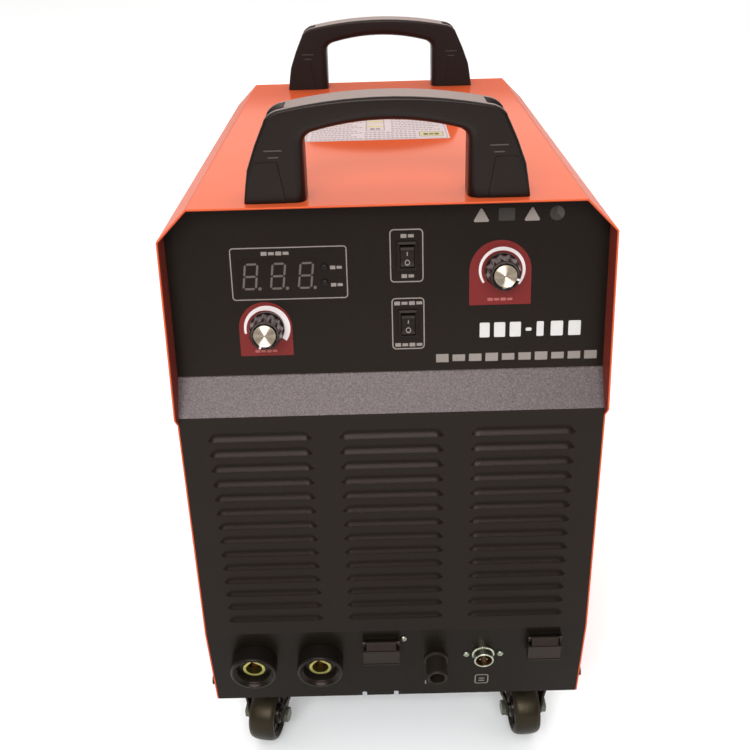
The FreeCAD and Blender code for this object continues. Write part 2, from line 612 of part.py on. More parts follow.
def hinged_hood(label, x, top, half):
    """A small hood that hangs over a terminal from a pin between two ears."""
    pin_y, pin_z = "-hood_pin_drop", "hood_pin_out"
    place = ON_SOCKET.multiply(Placement(Vector(size(x), size(top), 0), Rotation()))
    plate = block((f"-{half} + 2", f"{half} - 2"), ("-hood_tall + 2.5", 0), (0, 1.6))
    ears = [block((f"{i} * {half} - {2 if i > 0 else 0}", f"{i} * {half} + {0 if i > 0 else 2}"),
                  (-5.4, 0), (0, 7)) for i in SIDES]
    terminal = rod(5, (0, "-hood_tall / 2 - 3", 1.6), 3.4)
    bore = rod(2.2, (0, "-hood_tall / 2 - 3", 2), 6)
    pin_hole = rod("1.2 + running_gap", (f"-{half} - 1", pin_y, pin_z), f"2 * {half} + 2", "x")
    node(label + "_base", less(joined([plate, terminal] + ears), [bore, pin_hole]), place)
    leaf = prism("YZ_Plane", [
        ("-hood_pin_drop - 0.4", "hood_pin_out - 1.5"), ("-hood_pin_drop + 1.1", "hood_pin_out + 1.1"),
        (-7.4, "hood_reach"), (-9, "hood_reach"), (-9, "hood_reach - hood_skin"),
    ], f"2 * {half} - 5")
    front = block((f"-{half}", half), ("-hood_tall", -7.4), ("hood_reach - hood_skin", "hood_reach"))
    lip = block((f"-{half}", half), ("-hood_tall", "-hood_tall + hood_skin"), (2.2, "hood_reach"))
    cheeks = [block((f"{i} * {half} - {1.2 if i > 0 else 0}", f"{i} * {half} + {0 if i > 0 else 1.2}"),
                    ("-hood_tall", -7.4), (2.2, "hood_reach")) for i in SIDES]
    barrel = rod(1.9, (f"-{half} + 2.3", pin_y, pin_z), f"2 * {half} - 4.6", "x")
    pin = rod(1.2, (f"-{half} + 0.3", pin_y, pin_z), f"2 * {half} - 0.6", "x")
    node(label + "_flap", joined([leaf, front, lip, barrel, pin] + cheeks), place)


# ---- casters ----------------------------------------------------------------------------------------

def caster_spots():
    return [(f"{i} * caster_x", y) for y in ("front_caster_set", "rear_caster_set") for i in SIDES]


def caster_bolt_spots():
    return [(f"{x} + {i} * caster_bolt_x", f"{y} + {j} * caster_bolt_y")
            for x, y in caster_spots() for i in SIDES for j in SIDES]


def caster_plates():
    plates = []
    for x, y in caster_spots():
        plate = block((f"{x} - plate_half_x", f"{x} + plate_half_x"),
                      (f"{y} - plate_half_y", f"{y} + plate_half_y"), ("-plate_gauge", 0))
        pieces = [plate]
        if y == "front_caster_set":
            pieces.append(rod("race_radius - 1", (x, y, "-crown_drop + 0.3"), "crown_drop - plate_gauge - 0.3"))
            pieces.append(rod("kingpin_radius", (x, y, "-crown_drop - fork_skin - 3"), "crown_drop + fork_skin"))
            pieces.append(rod("kingpin_radius + 3", (x, y, "-crown_drop - fork_skin - 3"), 2.7))
        holes = [rod("caster_bolt_radius", (f"{x} + {i} * caster_bolt_x", f"{y} + {j} * caster_bolt_y", -5), 6)
                 for i in SIDES for j in SIDES]
        plates.append(less(joined(pieces), holes))
    node("caster_plates", group(plates), CABINET)


def caster_bolts():
    bolts = []
    for x, y in caster_bolt_spots():
        bolts.append(joined([rod("caster_bolt_radius", (x, y, "-plate_gauge"), "plate_gauge + tray_gauge + 6"),
                             hexagon(5, (x, y, "-plate_gauge - 4"), 4), hexagon(5, (x, y, "tray_gauge"), 4)]))
    node("caster_bolts", group(bolts), CABINET)


def fork_legs(outline, axle_y):
    gap = "fork_gap"
    legs = []
    for i in SIDES:
        leg = prism("YZ_Plane", outline, "fork_skin")
        leg.Placement = Placement(Vector(i * size("fork_gap + fork_skin / 2"), 0, 0), Rotation())
        legs.append(leg)
    hole = rod("axle_radius", (f"-{gap} * 2", axle_y, "wheel_radius - caster_height"), f"{gap} * 4", "x")
    return legs, hole


def axle(axle_y, x=0):
    """A plain axle with a hexagonal nut on each end."""
    height = "wheel_radius - caster_height"
    outer = "(fork_gap + fork_skin)"
    shaft = rod("axle_radius", (f"{x} - {outer} - 4", axle_y, height), f"2 * {outer} + 8", "x")
    nuts = [hexagon(7, (f"{x} + {i} * {outer} - {0 if i > 0 else 4}", axle_y, height), 4, "x") for i in SIDES]
    return joined([shaft] + nuts)


def wheel():
    return turned([
        ("axle_radius + running_gap", "-hub_half"), (9, "-hub_half"), (9.6, "-wheel_half + 2"),
        (18, "-wheel_half + 2"), (19, "-wheel_half"), ("wheel_radius - 2.4", "-wheel_half"),
        ("wheel_radius - 0.7", "-wheel_half + 1"), ("wheel_radius", "-wheel_half + 3.2"),
        ("wheel_radius", "wheel_half - 3.2"), ("wheel_radius - 0.7", "wheel_half - 1"),
        ("wheel_radius - 2.4", "wheel_half"), (19, "wheel_half"), (18, "wheel_half - 2"),
        (9.6, "wheel_half - 2"), (9, "hub_half"), ("axle_radius + running_gap", "hub_half"),
    ])


UPRIGHT_WHEEL = Rotation(Vector(0, 1, 0), 90)


def front_caster(side, x, swing):
    place = CABINET.multiply(Placement(Vector(size(x), size("front_caster_set"), 0),
                                       Rotation(Vector(0, 0, 1), size(swing))))
    crown = rod("race_radius", (0, 0, "-crown_drop - fork_skin"), "fork_skin")
    low = "-crown_drop"
    legs, hole = fork_legs([
        (14, low), (15, f"{low} - 5"), ("-trail + 9", -45), ("-trail + 5", -49.5), ("-trail - 4", -50),
        ("-trail - 8.5", -44), ("-trail - 7.5", -36), (-15, f"{low} - 5"), (-14, low),
    ], "-trail")
    king_hole = rod("kingpin_radius + running_gap", (0, 0, -20), 20)
    node(f"{side}_front_fork", less(joined([crown] + legs), [hole, king_hole]), place)
    node(f"{side}_front_axle", group([axle("-trail")]), place)
    centre = Placement(Vector(0, -size("trail"), size("wheel_radius - caster_height")), UPRIGHT_WHEEL)
    node(f"{side}_front_wheel", wheel(), place.multiply(centre))


def rear_casters():
    brackets, axles = [], []
    for x, y in caster_spots()[2:]:
        place = Placement(Vector(size(x), size(y), 0), Rotation())
        crown = block(("-fork_gap - fork_skin", "fork_gap + fork_skin"), (-15, 15),
                      ("-plate_gauge - fork_skin", "-plate_gauge"))
        legs, hole = fork_legs([
            (15, "-plate_gauge"), (15, "-plate_gauge - 6"), (8.5, -44), (4.5, -50), (-4.5, -50),
            (-8.5, -44), (-15, "-plate_gauge - 6"), (-15, "-plate_gauge"),
        ], 0)
        bracket = less(joined([crown] + legs), [hole])
        bracket.Placement = place
        brackets.append(bracket)
        rear_axle = axle(0)
        rear_axle.Placement = place
        axles.append(rear_axle)
    node("rear_caster_brackets", group(brackets), CABINET)
    node("rear_axles", group(axles), CABINET)
    for side, i in (("left", -1), ("right", 1)):
        centre = Placement(Vector(i * size("caster_x"), size("rear_caster_set"),
                                  size("wheel_radius - caster_height")), UPRIGHT_WHEEL)
        node(f"{side}_rear_wheel", wheel(), CABINET.multiply(centre))


# ---- fan --------------------------------------------------------------------------------------------

def blades(count, hub, tip, depth, pitch):
    """Flat blades set at a pitch around Z, trimmed to a tip circle."""
    fins = []
    for i in range(count):
        fin = block((0, tip), (-1, 1), (f"-({depth})", depth))
        holder = group([fin])
        holder.Placement = Placement(Vector(), Rotation(Vector(0, 0, 1), 360 * i / count).multiply(
            Rotation(Vector(1, 0, 0), pitch)))
        fins.append(holder)
    limit = rod(tip, (0, 0, f"-({depth}) / 2"), depth)
    middle = rod(hub, (0, 0, f"-({depth}) / 2"), depth)
    return joined([inside_of(joined(fins), limit), middle])


def fan():
    set_back = "body_depth - panel_gauge"
    centre = Placement(Vector(size("fan_x"), size(f"{set_back} - fan_depth / 2"), size("fan_up")),
                       Rotation(Vector(1, 0, 0), 90))
    half_deep = "fan_depth / 2"
    shell = less(block(("-fan_half", "fan_half"), ("-fan_half", "fan_half"), (f"-{half_deep}", half_deep)),
                 [rod("fan_bore", (0, 0, f"-{half_deep} - 1"), "fan_depth + 2")])
    motor = rod("fan_hub", (0, 0, f"{half_deep} - 6"), 6)
    struts = []
    for i in range(3):
        strut = group([block(("fan_hub - 3", "fan_bore + 3"), (-4, 4), (f"{half_deep} - 4", half_deep))])
        strut.Placement = Placement(Vector(), Rotation(Vector(0, 0, 1), 90 + 120 * i))
        struts.append(strut)
    bore = rod("fan_shaft + running_gap", (0, 0, f"{half_deep} - 8"), 10)
    place = CABINET.multiply(centre)
    node("fan_frame", less(joined([shell, motor] + struts), [bore]), place)
    wheel_of_blades = blades(int(size("fan_blades")), "fan_hub", "fan_tip", "fan_depth - 14", 38)
    wheel_of_blades.Placement = Placement(Vector(0, 0, -3), Rotation())
    shaft = rod("fan_shaft", (0, 0, 0), f"{half_deep} - 1")
    node("fan_impeller", joined([wheel_of_blades, shaft]), place)
    wires = []
    for ring in (20, 34, 48, 62):
        hoop = doc.addObject("Part::Torus", "Ring")
        bind_all(hoop, Radius1=ring, Radius2="guard_wire")
        wires.append(put(hoop, (0, 0, "-panel_gauge - fan_depth / 2 - 5")))
    for i in range(4):
        spoke = group([rod("guard_wire", (-78 if i % 2 else -66, 0, "-panel_gauge - fan_depth / 2 - 3.5"),
                           156 if i % 2 else 132, "x")])
        spoke.Placement = Placement(Vector(), Rotation(Vector(0, 0, 1), 45 * i))
        wires.append(spoke)
    for i in range(4):
        foot = group([rod(5, (76, 0, "-panel_gauge - fan_depth / 2 - 5"), 5)])
        foot.Placement = Placement(Vector(), Rotation(Vector(0, 0, 1), 45 + 90 * i))
        wires.append(foot)
    node("fan_guard", joined(wires), place)


# ---- inverter ---------------------------------------------------------------------------------------

def inverter():
    floor = "shelf_height + panel_gauge"
    count = int(size("sink_fins"))
    base = block(("-sink_width / 2 - 40", "sink_width / 2 - 40"), (150, "150 + sink_length"),
                 (f"{floor} + sink_tall - 10", f"{floor} + sink_tall"))
    fins = [block((f"-sink_width / 2 - 40 + (sink_width - 3) * {i / (count - 1):.5f}",
                   f"-sink_width / 2 - 37 + (sink_width - 3) * {i / (count - 1):.5f}"),
                  (150, "150 + sink_length"), (floor, f"{floor} + sink_tall - 8")) for i in range(count)]
    node("heatsink", joined([base] + fins), CABINET)
    deck = f"{floor} + sink_tall"
    board = block((-110, 30), (145, 360), (f"{deck} + 14", f"{deck} + 15.6"))
    modules = [block((-85, -55), (y, y + 60), (deck, f"{deck} + 14")) for y in (160, 240)]
    cans = [rod(15, (x, y, f"{deck} + 15.6"), 42) for x in (-90, -55, -20) for y in (200, 300)]
    node("power_board", joined([board] + modules + cans), CABINET)
    core = less(block((50, 130), (180, 260), (floor, f"{floor} + 90")),
                [block((50 - 1, 131), (198, 212), (f"{floor} + 18", f"{floor} + 72")),
                 block((50 - 1, 131), (228, 242), (f"{floor} + 18", f"{floor} + 72"))])
    winding = less(block((38, 142), (199, 241), (f"{floor} + 19", f"{floor} + 71")),
                   [block((49.9, 130.1), (212, 228), (f"{floor} + 10", f"{floor} + 80"))])
    node("transformer_core", core, CABINET)
    node("transformer_winding", winding, CABINET)


# ---- air supply -------------------------------------------------------------------------------------

def pipe(points, bend, radius):
    """A round hose along straight runs joined by tangent arcs."""
    corners = [Vector(*point) for point in points]
    edges = []
    start = corners[0]
    for i in range(1, len(corners) - 1):
        here = corners[i]
        back = (corners[i - 1] - here).normalize()
        ahead = (corners[i + 1] - here).normalize()
        half_angle = back.getAngle(ahead) / 2
        reach = bend / math.tan(half_angle)
        enter = here + back * reach
        leave = here + ahead * reach
        inward = (back + ahead).normalize()
        middle = here + inward * (bend / math.sin(half_angle) - bend)
        edges.append(Part.LineSegment(start, enter).toShape())
        edges.append(Part.Arc(enter, middle, leave).toShape())
        start = leave
    edges.append(Part.LineSegment(start, corners[-1]).toShape())
    spine = Part.Wire(edges)
    direction = (corners[1] - corners[0]).normalize()
    ring = Part.Wire(Part.Circle(corners[0], direction, radius).toShape())
    return spine.makePipeShell([ring], True, False), spine.Length


def hose_routes():
    """Corner points of each hose: to the torch, to the valve, from the pump, and from the outside inlet."""
    nipple = SOCKET.multVec(Vector(size("torch_x"), size("torch_up"), -24))
    straight_out = SOCKET.multVec(Vector(size("torch_x"), size("torch_up"), -60))
    filter_x, filter_y, filter_z = size("regulator_x"), size("regulator_set"), size("regulator_up")
    valve_y, valve_z, valve_left, valve_right = 190, 180, 55, 71
    pump_port = Vector(size("pump_x") + 27, size("pump_set") + 136, size("pump_axis_up") + 68)
    inlet = Vector(size("inlet_x"), size("body_depth") - 14, size("inlet_up"))
    return [
        [nipple, straight_out, Vector(nipple.x, 90, 150), Vector(nipple.x, valve_y, valve_z),
         Vector(valve_left, valve_y, valve_z)],
        [Vector(valve_right, valve_y, valve_z), Vector(filter_x, valve_y, valve_z),
         Vector(filter_x, 262, filter_z), Vector(filter_x, filter_y - 22, filter_z)],
        [pump_port, pump_port + Vector(43, 0, 0), Vector(40, 400, 142), Vector(filter_x, 400, filter_z),
         Vector(filter_x, filter_y + 22, filter_z)],
        [inlet, inlet - Vector(0, 40, 0), Vector(15, 420, 80), Vector(15, filter_y, filter_z),
         Vector(filter_x - 26, filter_y, filter_z)],
    ]


def air_hoses():
    radius, bend = size("hose_radius"), size("hose_bend")
    solids = []
    for points in hose_routes():
        shape, length = pipe(points, bend, radius)
        print("hose", round(length), "mm, volume over section times length",
              round(shape.Volume / (math.pi * radius ** 2 * length), 3))
        solids.append(shape)
    thing = doc.addObject("Part::Feature", "Hoses")
    thing.Shape = Part.makeCompound(solids)
    node("air_hoses", thing, CABINET)


def compressor():
    axis_up = "pump_axis_up"
    y = "pump_set"
    motor = rod("pump_radius", ("pump_x", y, axis_up), "pump_length", "y")
    crankcases = [block(("pump_x - 32", "pump_x + 32"), (f"{y} + {a}", f"{y} + {b}"),
                        (f"{axis_up} - 38", f"{axis_up} + 30")) for a, b in ((-34, 2), (118, 154))]
    cylinders = [rod(22, ("pump_x", f"{y} + {m}", f"{axis_up} + 28"), 40) for m in (-16, 136)]
    heads = [block(("pump_x - 27", "pump_x + 27"), (f"{y} + {m} - 24", f"{y} + {m} + 24"),
                   (f"{axis_up} + 60", f"{axis_up} + 76")) for m in (-16, 136)]
    pipe_between = rod(5, ("pump_x", f"{y} - 16", f"{axis_up} + 68"), 152, "y")
    feet = [block(("pump_x - 40", "pump_x + 40"), (f"{y} + {m} - 8", f"{y} + {m} + 8"),
                  ("tray_gauge", f"{axis_up} - 34")) for m in (-16, 136)]
    bore = rod("fan_shaft + running_gap", ("pump_x", f"{y} - 40", axis_up), 20, "y")
    node("compressor_pump", less(joined([motor, pipe_between] + crankcases + cylinders + heads + feet), [bore]),
         CABINET)
    spinner = blades(6, 14, "pump_fan_tip", 14, 35)
    shaft = rod("fan_shaft", (0, 0, -24), 24)
    place = Placement(Vector(size("pump_x"), size(f"{y} - 46"), size(axis_up)), Rotation(Vector(1, 0, 0), 90))
    node("compressor_fan", joined([spinner, shaft]), CABINET.multiply(place))


def air_treatment():
    x, y, up = "regulator_x", "regulator_set", "regulator_up"
    body = block((f"{x} - 20", f"{x} + 20"), (f"{y} - 20", f"{y} + 20"), (f"{up} - 14", f"{up} + 16"))
    bowl = rod(17, (x, y, f"{up} - 70"), 58)
    bonnet = rod(14, (x, y, f"{up} + 16"), 12)
    gauge = rod(16, (f"{x} + 20", y, up), 12, "x")
    ports = [rod(6, (x, f"{y} - 22", up), 44, "y"), rod(6, (f"{x} - 26", y, up), 20, "x")]
    bracket = block((f"{x} - 18", f"{x} + 18"), (f"{y} + 20", f"{y} + 22"), (f"{up} - 70", f"{up} + 10"))
    foot = block((f"{x} - 18", f"{x} + 18"), (f"{y} + 20", f"{y} + 45"), ("tray_gauge", f"{up} - 68"))
    bore = rod("fan_shaft + running_gap", (x, y, f"{up} + 18"), 20)
    node("filter_regulator", less(joined([body, bowl, bonnet, gauge, bracket, foot] + ports), [bore]), CABINET)
    knob_top = less(rod(15, (x, y, f"{up} + 28.3"), 20),
                    [rod(1.5, (f"{x} + 15.6 * {math.cos(i * math.pi / 6):.5f}",
                               f"{y} + 15.6 * {math.sin(i * math.pi / 6):.5f}", f"{up} + 27"), 24)
                     for i in range(12)])
    stem = rod("fan_shaft", (x, y, f"{up} + 19"), 12)
    node("regulator_knob", joined([knob_top, stem]), CABINET)
    valve = joined([block((55, 71), (178, 202), (172, 188)), rod(11, (63, 190, 148), 26),
                    block((50, 76), (177, 203), (188, 190)), block((60, 66), (184, 196), (190, "shelf_height"))])
    node("solenoid_valve", valve, CABINET)


# ---- rear fittings ----------------------------------------------------------------------------------

def breaker():
    x, up = "breaker_x", "breaker_up"
    back = "body_depth"
    case = block((f"{x} - breaker_width / 2", f"{x} + breaker_width / 2"), (f"{back} - 60", f"{back} + 2"),
                 (f"{up} - breaker_tall / 2", f"{up} + breaker_tall / 2"))
    well = block((f"{x} - 13", f"{x} + 13"), (f"{back} - 20", f"{back} + 3"), (f"{up} - 14", f"{up} + 14"))
    pin_hole = rod("2 + running_gap", (f"{x} - 16", f"{back} - 8", up), 32, "x")
    node("breaker", less(case, [well, pin_hole]), CABINET)
    place = CABINET.multiply(Placement(Vector(size(x), size(f"{back} - 8"), size(up)), Rotation(Vector(1, 0, 0), 30)))
    drum = rod(7, (-12, 0, 0), 24, "x")
    lever = block((-10, 10), (0, 22), (-3, 3))
    pin = rod(2, (-15, 0, 0), 30, "x")
    node("breaker_toggle", joined([drum, lever, pin]), place)


def cable_gland():
    x, up, back = "gland_x", "gland_up", "body_depth"
    barrel = rod("gland_bore + 3", (x, f"{back} - 14", up), 18, "y")
    collar = hexagon("gland_hex", (x, back, up), 6, "y")
    dome = cone("gland_hex - 1.5", "gland_hex - 4", (x, f"{back} + 6", up), "gland_reach - 6", "y")
    nut = hexagon("gland_hex", (x, f"{back} - panel_gauge - 6", up), 6, "y")
    bore = rod("gland_bore", (x, f"{back} - 20", up), 60, "y")
    node("cable_gland", less(joined([barrel, collar, dome, nut]), [bore]), CABINET)


def air_inlet():
    x, up, back = "inlet_x", "inlet_up", "body_depth"
    barrel = rod("inlet_barb + 2", (x, f"{back} - 14", up), 16, "y")
    collar = hexagon(9, (x, back, up), 6, "y")
    tail = rod("inlet_barb - 0.5", (x, f"{back} + 6", up), "inlet_reach - 6", "y")
    barbs = [cone("inlet_barb", "inlet_barb - 0.9", (x, f"{back} + 6 + {i} * 5", up), 4, "y") for i in range(3)]
    nut = hexagon(9, (x, f"{back} - panel_gauge - 5", up), 5, "y")
    bore = rod(2.5, (x, f"{back} - 20", up), 60, "y")
    node("air_inlet", less(joined([barrel, collar, tail, nut] + barbs), [bore]), CABINET)


def build():
    base_tray()
    top_cover()
    front_panel()
    control_panel()
    rear_panel()
    mid_shelf()
    handle("front_handle", "front_handle_set")
    handle("rear_handle", "rear_handle_set")
    handle_screws()
    cover_screws()
    display_module()
    knob("gas_delay_knob", "gas_knob_x", "gas_knob_up")
    knob("current_knob", "current_knob_x", "current_knob_up")
    potentiometers()
    rocker_switch("mode_switch", "mode_rocker_up")
    rocker_switch("air_switch", "air_rocker_up")
    control_board()
    output_sockets()
    torch_outlet()
    torch_switch_socket()
    connector_screws()
    hinged_hood("pilot_cover", "pilot_x", "pilot_top", "pilot_half")
    hinged_hood("remote_cover", "remote_x", "remote_top", "remote_half")
    caster_plates()
    caster_bolts()
    front_caster("left", "-caster_x", "left_swing")
    front_caster("right", "caster_x", "right_swing")
    rear_casters()
    fan()
    inverter()
    air_hoses()
    compressor()
    air_treatment()
    breaker()
    cable_gland()
    air_inlet()


build()
doc.recompute()

for thing in doc.Objects:
    if {"Invalid", "Error"} & set(thing.State):
        raise RuntimeError(f"{thing.Label} ({thing.Name}) failed: {thing.State}")
for thing in NODES:
    if thing.Shape.isNull() or not thing.Shape.isValid() or not thing.Shape.Solids:
        raise RuntimeError(f"{thing.Label} has no valid solid")

os.makedirs("parts", exist_ok=True)
for thing in NODES:
    thing.Shape.exportStep(f"parts/{thing.Label}.step")
whole = FreeCAD.BoundBox()
for thing in NODES:
    whole.add(thing.Shape.BoundBox)
print(len(NODES), "nodes", whole)
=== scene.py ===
"""Looks of a wheeled plasma cutter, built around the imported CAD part.

Pieces are drawn in millimetres, each in the frame of the surface it sits on: the cabinet, the leaning control
panel or the tilted socket panel. make() scales a piece to metres and hangs it on its CAD body.
"""
import json
from math import cos, pi, radians, sin, sqrt, tan

import bmesh
import bpy
from mathutils import Matrix, Vector
from mathutils.geometry import tessellate_polygon


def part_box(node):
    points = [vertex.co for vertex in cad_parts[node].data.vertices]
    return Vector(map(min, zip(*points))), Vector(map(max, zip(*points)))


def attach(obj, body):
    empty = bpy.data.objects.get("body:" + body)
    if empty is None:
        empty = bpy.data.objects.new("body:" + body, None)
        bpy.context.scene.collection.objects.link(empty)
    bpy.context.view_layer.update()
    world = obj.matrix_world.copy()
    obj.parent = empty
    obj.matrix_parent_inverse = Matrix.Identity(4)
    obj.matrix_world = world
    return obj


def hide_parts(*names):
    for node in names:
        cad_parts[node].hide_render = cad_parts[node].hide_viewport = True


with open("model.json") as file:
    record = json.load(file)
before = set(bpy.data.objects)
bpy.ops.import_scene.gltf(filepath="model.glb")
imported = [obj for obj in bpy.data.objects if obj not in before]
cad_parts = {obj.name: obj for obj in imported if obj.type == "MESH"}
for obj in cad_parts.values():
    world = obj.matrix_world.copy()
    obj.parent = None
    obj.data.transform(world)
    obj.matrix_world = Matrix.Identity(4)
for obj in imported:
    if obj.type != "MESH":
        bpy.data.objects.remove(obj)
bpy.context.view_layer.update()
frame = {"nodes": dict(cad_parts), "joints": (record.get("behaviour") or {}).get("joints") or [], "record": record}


# ---- frames and sizes, in millimetres -----------------------------------------------------------------

MM = 0.001
ACROSS = Vector((1, 0, 0))
JOINTS = {joint["name"]: joint for joint in frame["joints"]}
MOUNTS = {mount["name"]: mount for mount in frame["record"]["mounts"]}
SIDES = (-1, 1)

GAS_KNOB = (-89.3, 37.0)          # on the control panel: to the right, and up from its fold
CURRENT_KNOB = (82.3, 76.2)
ROCKER_X = 14.2
ROCKERS_UP = {"mode": 88.1, "air": 37.5}
OUTPUT_X = (-121.5, -65.0)        # on the socket panel: to the right, and up from its lower edge
OUTPUT_UP = 52.5
OUTPUT_MOUNT_OUT = 4.0
TORCH = (34.2, 48.25)
SWITCH = (74.5, 54.2)


def box_mm(node):
    low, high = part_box(node)
    return low / MM, high / MM


def panel_frame(point, out, up_by, out_by=0.0):
    """Frame of a panel, x to the right, y up it and z out of it, from a point with known coordinates."""
    up = out.cross(ACROSS)
    origin = Vector((0, point.y, point.z)) - up * up_by - out * out_by
    return Matrix.Translation(origin) @ Matrix((ACROSS, up, out)).transposed().to_4x4()


cover_low, cover_high = box_mm("top_cover")
CABINET = Matrix.Translation((0, box_mm("control_panel")[0].y, cover_low.z))
CONTROL = panel_frame(Vector(JOINTS["gas_knob_turn"]["pos_m"]) / MM,
                      -Vector(JOINTS["gas_knob_turn"]["axis"]), GAS_KNOB[1])
SOCKET = panel_frame(Vector(MOUNTS["negative_socket"]["pos_m"]) / MM,
                     Vector(MOUNTS["negative_socket"]["axis"]), OUTPUT_UP, OUTPUT_MOUNT_OUT)
UPRIGHT = Matrix.Rotation(radians(90), 4, "X")      # turns a flat drawing to face the front

HALF = cover_high.x               # cabinet half width, height and depth
TALL = cover_high.z - cover_low.z
BACK = cover_high.y - CABINET.translation.y
GAUGE = 1.2                       # cover and front sheet
PANEL_GAUGE = 1.5                 # control panel sheet
INNER = box_mm("front_panel")[1].x
SHOULDER = 22.0
CREASE = 86.2                     # height of the bend above the socket panel
FOOT_IN = 15.1                    # how far back the socket panel's lower edge is
VISOR = ((287.0, 0.0), (296.0, -9.0), (TALL, 9.5))      # height and y of the cover's front edge
BAND_FOOT = (-28.06, 12.7)        # lower edge of the band, whose lighter grey is painted sheen: up the control panel, and out of it
INK = 0.08                        # thickness of a printed mark


# ---- drawing ----------------------------------------------------------------------------------------

def arc(x, y, radius, start, end, steps):
    """Points along an arc; angles in degrees, anticlockwise from the right."""
    turns = [radians(start + (end - start) * i / steps) for i in range(steps + 1)]
    return [(x + radius * cos(turn), y + radius * sin(turn)) for turn in turns]


def circle(x, y, radius, steps=48):
    return arc(x, y, radius, 0, 360, steps)[:-1]


def rectangle(left, right, low, high):
    return [(left, low), (right, low), (right, high), (left, high)]


def rounded(x, y, width, height, radius, steps=4):
    """Outline of a rounded rectangle about its centre."""
    points = []
    for quarter, (i, j) in enumerate(((1, 1), (-1, 1), (-1, -1), (1, -1))):
        points += arc(x + i * (width / 2 - radius), y + j * (height / 2 - radius), radius,
                      90 * quarter, 90 * quarter + 90, steps)
    return points


def fillet(points, radii, closed=False, steps=4):
    """Round the corners of a line of 2D points; radii is one number, or one for each point."""
    line = [Vector(point) for point in points]
    radii = radii if isinstance(radii, (list, tuple)) else [radii] * len(line)
    result = []
    for i, (corner, radius) in enumerate(zip(line, radii)):
        if not radius or (not closed and i in (0, len(line) - 1)):
            result.append(corner)
            continue
        back = (line[i - 1] - corner).normalized()
        ahead = (line[(i + 1) % len(line)] - corner).normalized()
        half = back.angle(ahead) / 2
        centre = corner + (back + ahead).normalized() * radius / sin(half)
        start = corner + back * radius / tan(half) - centre
        end = corner + ahead * radius / tan(half) - centre
        for step in range(steps + 1):
            result.append(centre + start.lerp(end, step / steps).normalized() * radius)
    return result


def offset_line(points, distance):
    """An open line of 2D points moved to its left, with mitred corners."""
    sides = [(b - a).normalized().orthogonal() for a, b in zip(points, points[1:])]
    sides = [sides[0]] + sides + [sides[-1]]
    return [point + (before + after) / (1 + before.dot(after)) * distance
            for point, before, after in zip(points, sides, sides[1:])]


def loft(bm, rings, around=True, caps=True):
    """Skin a row of rings of points; around closes each ring, caps close both ends. Returns the vertices."""
    rows = [[bm.verts.new(point) for point in ring] for ring in rings]
    skin(bm, rows, around)
    if caps:
        bm.faces.new(rows[0])
        bm.faces.new(rows[-1])
    return rows


def skin(bm, rows, around=False):
    for low, high in zip(rows, rows[1:]):
        count = len(low)
        for i in range(count if around else count - 1):
            j = (i + 1) % count
            corners = [low[i], low[j], high[j], high[i]]
            unique = [vert for k, vert in enumerate(corners) if vert not in corners[:k]]
            if len(unique) > 2:
                bm.faces.new(unique)


def lathe(bm, profile, steps=48, place=Matrix(), ring=False):
    """Turn a profile of (radius, height) points about z; ring joins its last point to its first."""
    turns = [2 * pi * i / steps for i in range(steps)]
    profile = list(profile) + list(profile[:1]) if ring else profile
    rings = [[place @ Vector((radius * cos(turn), radius * sin(turn), height)) for turn in turns]
             for radius, height in profile]
    loft(bm, rings, caps=not ring)


def plate(bm, loops, low, high, place=Matrix()):
    """A flat plate between two heights; the first loop is its outline and the others are holes."""
    points = [point for loop in loops for point in loop]
    tops = [bm.verts.new(place @ Vector((x, y, high))) for x, y in points]
    feet = [bm.verts.new(place @ Vector((x, y, low))) for x, y in points]
    for a, b, c in tessellate_polygon([[Vector((x, y, 0)) for x, y in loop] for loop in loops]):
        bm.faces.new((tops[a], tops[b], tops[c]))
        bm.faces.new((feet[c], feet[b], feet[a]))
    start = 0
    for loop in loops:
        for i in range(len(loop)):
            a, b = start + i, start + (i + 1) % len(loop)
            bm.faces.new((feet[a], feet[b], tops[b], tops[a]))
        start += len(loop)


def flat(bm, loops, place=Matrix(), index=0):
    """An open flat sheet with holes; its faces get the material with this index."""
    points = [bm.verts.new(place @ Vector((x, y, 0))) for loop in loops for x, y in loop]
    for corners in tessellate_polygon([[Vector((x, y, 0)) for x, y in loop] for loop in loops]):
        bm.faces.new([points[i] for i in corners]).material_index = index


def block(bm, left, right, low, high, near, far, place=Matrix()):
    plate(bm, [rectangle(left, right, low, high)], near, far, place)


def spot(x, y, z=0.0):
    return Matrix.Translation((x, y, z))


def thicken(bm, gauge, front):
    """Give an open sheet its thickness, behind the side that looks to front."""
    bmesh.ops.remove_doubles(bm, verts=bm.verts, dist=0.02)
    bm.normal_update()
    for face in bm.faces:
        if face.normal.dot(front) < 0:
            face.normal_flip()
    bmesh.ops.solidify(bm, geom=list(bm.faces), thickness=gauge)


